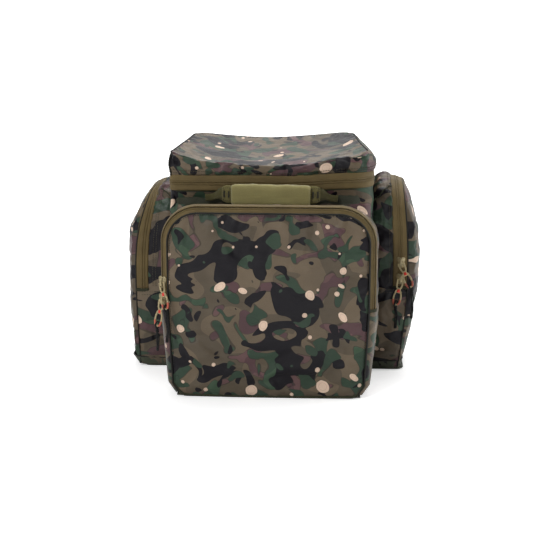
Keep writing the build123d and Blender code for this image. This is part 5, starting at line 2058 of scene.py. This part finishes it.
def border_of(mesh):
    """Vertices on edges that belong to one face only."""
    uses = Counter(key for face in mesh.polygons for key in face.edge_keys)
    return {i for key, count in uses.items() if count == 1 for i in key}


def add_cloth(piece, group, settings):
    modifier = piece.modifiers.new("soft", "CLOTH")
    cloth = modifier.settings
    cloth.quality = 5
    cloth.mass = 0.004
    cloth.air_damping = 2.0
    cloth.tension_stiffness = cloth.compression_stiffness = 12.0
    cloth.shear_stiffness = 4.0
    cloth.bending_stiffness = 0.02
    cloth.tension_damping = cloth.compression_damping = cloth.shear_damping = 5.0
    cloth.bending_damping = 0.5
    cloth.vertex_group_mass = group.name
    cloth.shrink_min = cloth.shrink_max = settings["shrink"]
    cloth.use_pressure = True
    cloth.uniform_pressure_force = settings["pressure"]
    cloth.effector_weights.gravity = settings["gravity"]
    modifier.collision_settings.use_collision = False
    modifier.point_cache.frame_start, modifier.point_cache.frame_end = 1, LAST_FRAME
    return modifier


def simulate():
    """Let every soft cloth settle with its border pinned, and keep a capped share of the move."""
    scene = bpy.context.scene
    scene.gravity = (0, 0, -9.81)
    scene.frame_start, scene.frame_end = 1, LAST_FRAME
    work = []
    for piece, settings in SIMS:
        rest = coords(piece.data)
        pins = border_of(piece.data) | set(settings.get("pins", []))
        if "pin_below" in settings:
            pins.update(np.nonzero((rest / MM)[:, 2] < settings["pin_below"])[0].tolist())
        group = piece.vertex_groups.new(name="pinned")
        group.add(sorted(pins), 1.0, "REPLACE")
        others = list(piece.modifiers)
        for other in others:
            other.show_viewport = False
        cloth = add_cloth(piece, group, settings)
        work.append((piece, rest, cloth, others, group, settings["cap"] * MM))
    for number in range(1, LAST_FRAME + 1):
        scene.frame_set(number)
    depsgraph = bpy.context.evaluated_depsgraph_get()
    for piece, rest, cloth, others, group, cap in work:
        evaluated = piece.evaluated_get(depsgraph)
        move = coords(evaluated.to_mesh()) - rest
        evaluated.to_mesh_clear()
        far = np.linalg.norm(move, axis=1)
        lost = ~np.isfinite(far)
        move[lost] = 0
        far[lost] = 0
        kept = np.where(far > 1e-9, cap * np.tanh(far / cap) / np.maximum(far, 1e-9), 1.0)
        move = move * kept[:, None]
        MOVED[piece.name] = (rest, move)
        piece.modifiers.remove(cloth)
        piece.vertex_groups.remove(group)
        set_coords(piece.data, rest + move)
        for other in others:
            other.show_viewport = True
    scene.frame_set(1)


def follow(name, cloth_name):
    """A seam or stitch row on a simulated cloth goes where the cloth under it went."""
    if cloth_name not in MOVED:
        return
    rest, move = MOVED[cloth_name]
    tree = KDTree(len(rest))
    for i, place in enumerate(rest):
        tree.insert(place, i)
    tree.balance()
    mesh = PIECES[name].data
    places = coords(mesh)
    for i, place in enumerate(places.copy()):
        near = tree.find_n(place, 4)
        weight = np.array([1.0 / (1e-4 + found[2]) for found in near])
        moves = np.array([move[found[1]] for found in near])
        places[i] += (moves * weight[:, None]).sum(0) / weight.sum()
    set_coords(mesh, places)


simulate()
for name in ("lid_edge_piping", "lid_corner_piping", "lid_thread"):
    follow(name, "lid_cloth")
follow("front_panel_thread", "front_pocket_panel_cloth")
for tag in ("right", "left"):
    for name in ("gusset_thread", "shoulder_piping"):
        follow(f"{tag}_{name}", f"{tag}_pocket_gusset_cloth")

for name, thickness in (("front_pocket_panel_cloth", 2.0), ("lid_cloth", 2.0),
                        ("right_pocket_shell_cloth", 2.0), ("right_pocket_gusset_cloth", 1.8),
                        ("left_pocket_shell_cloth", 2.0), ("left_pocket_gusset_cloth", 1.8),
                        ("front_pocket_side_cloth", 1.8)):
    thicken(PIECES[name], thickness, LINING)
for name in ("lid_lining_cloth", "lid_side_lining_cloth"):
    thicken(PIECES[name], 0.6)

# ------------------------------------------------------------------ what each piece rides on
placed = set()


def ride(body, *names):
    for name in names:
        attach(PIECES[name], body)
        placed.add(name)


def blend(body, start, end, *names):
    """Pieces baked where they stand and left unbent; the body and the two points in metres are not
    used.
    """
    for name in names:
        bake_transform(PIECES[name])
        placed.add(name)


ride("lid", *LID_PIECES)
ride("handle", "handle_webbing", "handle_grip_cloth", "handle_grip_hems", "handle_thread",
     "handle_bar_tacks")
ride("rear_handle", "rear_handle_webbing", "rear_handle_fold")
fold_y = JOINTS["front_flap_fold"]["pos_m"][1]
blend("front_flap", (0, fold_y, (FOLD_Z - 6) * MM), (0, fold_y, (FOLD_Z + 6) * MM),
      "front_pocket_panel_cloth", "front_zip_panel_tape", "front_zip_panel_coil",
      "front_panel_piping", "front_panel_thread")
for side, tag in SIDE_NAME.items():
    x, y, _ = JOINTS[f"{tag}_flap_fold"]["pos_m"]
    blend(f"{tag}_flap", (x, y, (FOLD_Z - 13) * MM), (x, y, (FOLD_Z + 13) * MM),
          f"{tag}_pocket_shell_cloth", f"{tag}_zip_outer_tape", f"{tag}_zip_outer_coil",
          f"{tag}_shell_piping")
    strap = f"{tag}_strap"
    ride(strap, f"{tag}_strap_webbing", f"{tag}_strap_thread", f"{tag}_ladder_lock_frame",
         f"{tag}_webbing_tail", f"{tag}_tail_hem")
    blend(strap, (side * 0.057, 0.105, 0.2505), (side * 0.057, 0.105, 0.2385),
          f"{tag}_shoulder_strap_cloth", f"{tag}_strap_binding")
    blend(strap, (side * 0.131, 0.1, 0.038), (side * 0.096, 0.1, 0.076), f"{tag}_lower_webbing")
    blend("handle", (side * 0.096, -0.1, HANDLE_Z * MM), (side * 0.078, -0.1, HANDLE_Z * MM),
          f"handle_end_{tag}")
    blend("rear_handle", (side * 0.058, 0.1, GRAB_Z * MM), (side * 0.042, 0.1, GRAB_Z * MM),
          f"rear_handle_end_{tag}")
rear_y = MAIN_REAR * MM
blend("lid", (0, rear_y, (ZIP_MID - 4) * MM), (0, rear_y, (ZIP_MID + 4) * MM), "lid_hinge_cloth")
blend("lid", (0, rear_y, (ZIP_MID + 1.5) * MM), (0, rear_y, ZIP_HIGH * MM), "lid_inner_gore")
for zip_name, (_, _, labels) in SLIDERS.items():
    for label in labels:
        for kind, ending in (("slider", "body"), ("pull", "piece")):
            body = f"{zip_name}_{kind}_{label}"
            name = f"{body}_{ending}"
            ride(body, name)
            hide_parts(body)
# everything else stays with the bag
ride("bag", *(name for name in PIECES if name not in placed))

# ------------------------------------------------------------------ CAD parts they stand for
REPLACES = {
    "front_pocket_side_cloth": ["front_pocket_gusset"],
    "front_pocket_floor_cloth": ["front_pocket_base"],
    "front_pocket_panel_cloth": ["front_pocket_lower_panel", "front_flap_panel"],
    "front_zip_side_tape": ["front_zip_body_half"],
    "front_zip_panel_tape": ["front_zip_flap_half"],
    "main_body_cloth": ["main_front_wall", "main_side_walls", "main_back_wall"],
    "main_lining_cloth": ["main_lining"],
    "base_sheet": ["base_cover"],
    "base_band_main": ["base_edge_band"],
    "lid_zip_lower_tape": ["lid_zip_body_half"],
    "lid_zip_upper_tape": ["lid_zip_half"],
    "lid_zip_left_end_tape": ["zip_closed_ends"],
    "lid_cloth": ["lid_top_panel", "lid_wall"],
    "lid_lining_cloth": ["lid_foam"],
    "lid_mesh_cloth": ["lid_mesh_pocket"],
    "handle_webbing": ["handle_strap"],
    "handle_grip_cloth": ["handle_grip"],
    "handle_end_left": ["handle_tabs"],
    "back_pad_mesh_cloth": ["back_pad"],
    "strap_yoke_cloth": ["strap_yoke"],
    "right_corner_patch": ["strap_tabs"],
    "right_lower_webbing": ["lower_webbing"],
    "rear_handle_webbing": ["rear_handle"],
}
for tag in ("right", "left"):
    REPLACES.update({
        f"{tag}_pocket_gusset_cloth": [f"{tag}_pocket_gusset"],
        f"{tag}_pocket_shell_cloth": [f"{tag}_pocket_lower_shell", f"{tag}_flap_shell"],
        f"{tag}_zip_inner_tape": [f"{tag}_zip_body_half"],
        f"{tag}_zip_outer_tape": [f"{tag}_zip_flap_half"],
        f"{tag}_shoulder_strap_cloth": [f"{tag}_shoulder_strap"],
        f"{tag}_ladder_lock_frame": [f"{tag}_ladder_lock"],
    })
for name, parts in REPLACES.items():
    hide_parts(*parts)

board = frame["nodes"]["base_board"]
board.data.materials.clear()
board.data.materials.append(BOARD)


# ------------------------------------------------------------------ studio
def floor_paint(name):
    """Near-white paint that glows for the camera, more so further back."""
    paint = Paint(name, rough=0.9, spec=0.2)
    cloudy = paint.noise(paint.object_coords(), size=0.6, detail=2.0)
    shade = paint.ramp(cloudy, over=(0.3, 0.7), to=(0.985, 1.0))
    paint.set("Base Color", paint.tint((0.93, 0.93, 0.93), shade))
    paint.set("Emission Color", (1, 1, 1, 1))
    seen = paint.add("ShaderNodeLightPath").outputs["Is Camera Ray"]
    depth = paint.axes(paint.add("ShaderNodeNewGeometry").outputs["Position"])[1]
    glow = paint.ramp(depth, over=(0.7, 2.6), to=(0.42, 1.2))
    paint.set("Emission Strength", paint.times(seen, glow))
    return paint.mat


def white_world():
    """White to the camera; as a light, dim in front of the bag and bright behind it."""
    world = bpy.data.worlds.new("studio")
    bpy.context.scene.world = world
    world.use_nodes = True
    background = world.node_tree.nodes["Background"]
    background.inputs[0].default_value = (1, 1, 1, 1)
    nodes = Nodes(world.node_tree)
    seen = nodes.add("ShaderNodeLightPath").outputs["Is Camera Ray"]
    depth = nodes.axes(nodes.add("ShaderNodeTexCoord").outputs["Generated"])[1]
    dim = nodes.ramp(depth, over=(-0.25, 0.95), to=(0.14, 1.15))
    nodes.put(nodes.math("MAXIMUM", seen, dim), background.inputs[1])


def softbox(name, place, aim_z, size, power):
    """An area light aimed at the bag's middle line; metres and watts."""
    light = bpy.data.lights.new(name, "AREA")
    light.shape = "RECTANGLE"
    light.size, light.size_y = size
    light.energy = power
    lamp = bpy.data.objects.new(name, light)
    bpy.context.scene.collection.objects.link(lamp)
    lamp.location = place
    lamp.rotation_mode = "QUATERNION"
    aim = Vector((0, 0, aim_z)) - Vector(place)
    lamp.rotation_quaternion = aim.to_track_quat("-Z", "Y")


def add_camera():
    lens = bpy.data.cameras.new("camera")
    lens.lens, lens.sensor_width = 95.35, 36.0
    lens.clip_start, lens.clip_end = 0.1, 50.0
    camera = bpy.data.objects.new("camera", lens)
    bpy.context.scene.collection.objects.link(camera)
    camera.location = (0.1015, -2.1476, 0.686)
    tilt_down, pan_left = 14.05, 3.0       # degrees
    camera.rotation_euler = (math.radians(90 - tilt_down), 0, math.radians(pan_left))
    bpy.context.scene.camera = camera


floor_points = xyz(np.array([-9000.0, 9000])[:, None], np.array([-6000.0, 9000]), -0.3)
grid("studio_floor", floor_points, floor_paint("studio_floor_paint"))
white_world()
softbox("key_softbox", place=(-1.3, -1.9, 2.1), aim_z=0.15, size=(0.9, 0.8), power=40)
softbox("front_softbox", place=(-0.5, -2.6, 0.8), aim_z=0.15, size=(0.45, 0.3), power=9)
softbox("fill_softbox", place=(2.4, 0.25, 1.05), aim_z=0.15, size=(1.0, 1.2), power=33)
softbox("top_softbox", place=(0.1, 0.9, 2.3), aim_z=0.2, size=(1.6, 1.4), power=38)
add_camera()
bpy.context.scene.view_settings.view_transform = "Standard"

bpy.context.view_layer.update()
